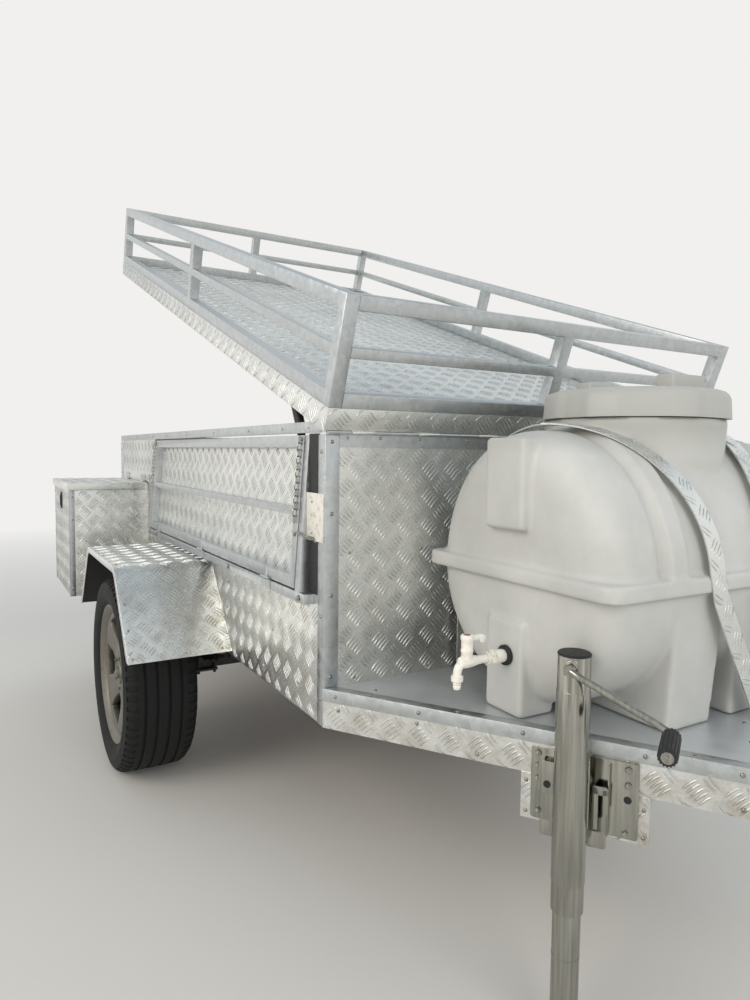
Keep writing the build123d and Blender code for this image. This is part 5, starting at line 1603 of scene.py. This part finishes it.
def stage(looks):
    """Pale floor that fades into a pale background, evening sky for the metal to reflect, and three lamps."""
    deselect()
    bpy.ops.mesh.primitive_plane_add(size=60, location=(0, 0, 0))
    floor = bpy.context.active_object
    floor.name = "floor"
    made, tree, shader, place = begin("pale_studio_floor", Roughness=0.85)
    cloud = add(tree, "TexNoise", {"Scale": 1000 / 900, "Detail": 4.0, "Roughness": 0.55}, Vector=place)
    darker = [c * 0.96 for c in looks.floor_colour[:3]] + [1.0]
    base = add(tree, "Mix", {"data_type": "RGBA", 6: looks.floor_colour, 7: darker}, _0=cloud)
    wire(tree, shader, Base_Color=base)
    away = add(tree, "VectorMath", {"operation": "LENGTH"}, _0=place).outputs["Value"]
    fade = add(tree, "MapRange", {"From Min": FLOOR_FADE[0], "From Max": FLOOR_FADE[1]}, Value=away)
    path = add(tree, "LightPath").outputs
    seen = add(tree, "Math", {"operation": "MAXIMUM"}, _0=path["Is Camera Ray"], _1=path["Is Glossy Ray"])
    share = add(tree, "Math", {"operation": "MULTIPLY"}, _0=fade, _1=seen)
    glow = add(tree, "Emission", {"Color": looks.background_colour, "Strength": 1.0})
    both = add(tree, "MixShader", _0=share, _1=shader, _2=glow)
    wire(tree, tree.nodes["Material Output"], Surface=both)
    floor.data.materials.append(made)

    world = bpy.data.worlds.new("Evening sky")
    bpy.context.scene.world = world
    world.use_nodes = True
    tree = world.node_tree
    tree.nodes.clear()
    output = add(tree, "OutputWorld")
    direction = add(tree, "TexCoord").outputs["Generated"]
    height = add(tree, "SeparateXYZ", Vector=direction).outputs["Z"]
    rise = add(tree, "MapRange", {"From Min": -0.3}, Value=height)
    sky = add(tree, "ValToRGB", {"stops": ((0.0, "#746E66"), (0.18, "#958F87"), (0.24, "#FBF8F4"),
                                           (0.60, "#DDE1E3"), (1.0, "#95A1AB"))}, Fac=rise)
    around = add(tree, "TexNoise", {"Scale": 2.6, "Detail": 1.0}, Vector=direction)
    level = add(tree, "Math", {"operation": "ABSOLUTE"}, _0=height)
    patches = add(tree, "MapRange", {"From Min": 0.42, "From Max": 0.56, "To Max": 0.5}, Value=around)
    band = add(tree, "MapRange", {"From Min": 0.16, "From Max": 0.34, "To Min": 1.0, "To Max": 0.0}, Value=level)
    low = add(tree, "Math", {"operation": "MULTIPLY"}, _0=patches, _1=band)
    sky = add(tree, "Mix", {"data_type": "RGBA", 7: linear("#8D877D")}, _0=low, _6=sky)
    lit = add(tree, "Background", {"Strength": looks.sky_strength}, Color=sky)
    seen = add(tree, "Background", {"Strength": 1.0, "Color": looks.background_colour})
    path = add(tree, "LightPath").outputs
    wire(tree, output, Surface=add(tree, "MixShader", _0=path["Is Camera Ray"], _1=lit, _2=seen))

    for name, place, size, share, colour in (("Key", (1.2, -5.6, 3.9), (4.0, 3.0), 1.0, "#FFF6EA"),
                                             ("Front", (5.5, -0.8, 2.9), (3.0, 3.0), 0.65, "#FAF8F4"),
                                             ("Far side", (-3.0, 5.0, 4.5), (4.0, 3.0), 0.6, "#FFFFFF")):
        soft = lamp(name, place, (0, 0, 0.8), size, looks.lamp_power * share, colour)
        soft.visible_glossy = name == "Key"
    bpy.context.scene.view_settings.view_transform = "Standard"


# Sizes and colours that a user would change

def number_setting(name, about, default, low, high):
    """Describe one number for the panel."""
    return bpy.props.FloatProperty(name=name, description=about, default=default, min=low, max=high)


def colour_setting(name, about, default):
    """Describe one colour for the panel."""
    return bpy.props.FloatVectorProperty(name=name, description=about, subtype="COLOR", size=4, min=0.0, max=1.0,
                                         default=linear(default))


class TrailerLooks(bpy.types.PropertyGroup):
    """Sizes and colours of the trailer's looks."""
    bar_length: number_setting("Bar length", "Length of a raised bar in millimetres", 43.0, 10.0, 60.0)
    bar_width: number_setting("Bar width", "Width of a raised bar in millimetres", 5.0, 1.0, 8.0)
    bar_height: number_setting("Bar height", "Height of a raised bar in millimetres", 1.5, 0.5, 3.0)
    bar_sag: number_setting("Bar sag", "How far a bar's middle bows sideways, in millimetres", 2.2, 0.0, 6.0)
    floor_colour: colour_setting("Floor", "Colour of the studio floor", "#D8D5D0")
    background_colour: colour_setting("Background", "Colour behind the trailer", "#F1F0EE")
    sky_strength: number_setting("Sky strength", "Strength of the sky's light", 1.18, 0.0, 3.0)
    lamp_power: bpy.props.FloatProperty(name="Key lamp", description="Power of the key lamp", default=135.0,
                                        subtype="POWER", unit="POWER", min=0.0)


class SceneStage(bpy.types.Operator):
    """Place the camera, the floor, the sky and the lamps."""
    bl_idname = "trailer.stage"
    bl_label = "Stage and camera"

    def execute(self, context):
        place_camera()
        stage(context.scene.trailer_looks)
        return {"FINISHED"}


class BoxAndTrims(bpy.types.Operator):
    """Finish the CAD sheets and round the edges of tubes, angles and trims."""
    bl_idname = "trailer.box"
    bl_label = "Box, rack and trims"

    def execute(self, context):
        finish_nodes()
        trim_nodes()
        side_box_trim()
        return {"FINISHED"}


class TreadPlate(bpy.types.Operator):
    """Roll the raised bars onto each surface of tread plate."""
    bl_idname = "trailer.tread"
    bl_label = "Tread plate"

    def execute(self, context):
        for roll in (wall_bars, skirt_bars, lid_bars, hatch_bars, guard_bars, side_box_bars, straps, strap_bars):
            roll()
        return {"FINISHED"}


class Fasteners(bpy.types.Operator):
    """Set the rivets, screws and bolts."""
    bl_idname = "trailer.fasteners"
    bl_label = "Rivets and screws"

    def execute(self, context):
        box_rivets()
        platform_rivets()
        guard_rivets()
        guard_shade_skins()
        return {"FINISHED"}


class WaterTank(bpy.types.Operator):
    """Model the water tank, its screw lid and its tap."""
    bl_idname = "trailer.tank"
    bl_label = "Water tank"

    def execute(self, context):
        tank()
        tank_lid()
        tap()
        return {"FINISHED"}


class Wheels(bpy.types.Operator):
    """Model the tyres and the alloy wheels."""
    bl_idname = "trailer.wheels"
    bl_label = "Wheels"

    def execute(self, context):
        tyres()
        rims()
        return {"FINISHED"}


class JackStand(bpy.types.Operator):
    """Model the jack stand, its crank, its foot and its bracket."""
    bl_idname = "trailer.jack"
    bl_label = "Jack stand"

    def execute(self, context):
        jack_tube()
        jack_crank()
        jack_foot()
        jack_bracket()
        return {"FINISHED"}


class HatchesAndStruts(bpy.types.Operator):
    """Model the hatch chains, the latch plates, the gas struts and the tail lamps."""
    bl_idname = "trailer.hatches"
    bl_label = "Hatches, struts and lamps"

    def execute(self, context):
        hatch_chains()
        hatch_latches()
        struts()
        tail_lamps()
        return {"FINISHED"}


OPERATORS = (SceneStage, BoxAndTrims, TreadPlate, Fasteners, WaterTank, Wheels, JackStand, HatchesAndStruts)


class TrailerPanel(bpy.types.Panel):
    """Lists the trailer's sizes, colours and operators."""
    bl_idname = "VIEW3D_PT_trailer_looks"
    bl_label = "Box trailer"
    bl_space_type = "VIEW_3D"
    bl_region_type = "UI"
    bl_category = "Trailer"

    def draw(self, context):
        looks = context.scene.trailer_looks
        for name in TrailerLooks.__annotations__:
            self.layout.prop(looks, name)
        for kind in OPERATORS:
            self.layout.operator(kind.bl_idname)


CLASSES = (TrailerLooks,) + OPERATORS + (TrailerPanel,)


def register():
    """Register the classes and hang the settings on the scene."""
    for kind in CLASSES:
        bpy.utils.register_class(kind)
    bpy.types.Scene.trailer_looks = bpy.props.PointerProperty(type=TrailerLooks)


def unregister():
    """Take the settings and the classes away again."""
    del bpy.types.Scene.trailer_looks
    for kind in reversed(CLASSES):
        bpy.utils.unregister_class(kind)


def main():
    register()
    bpy.ops.trailer.stage()
    bpy.ops.trailer.box()
    bpy.ops.trailer.tread()
    bpy.ops.trailer.fasteners()
    bpy.ops.trailer.tank()
    bpy.ops.trailer.wheels()
    bpy.ops.trailer.jack()
    bpy.ops.trailer.hatches()


if __name__ == "__main__":
    main()
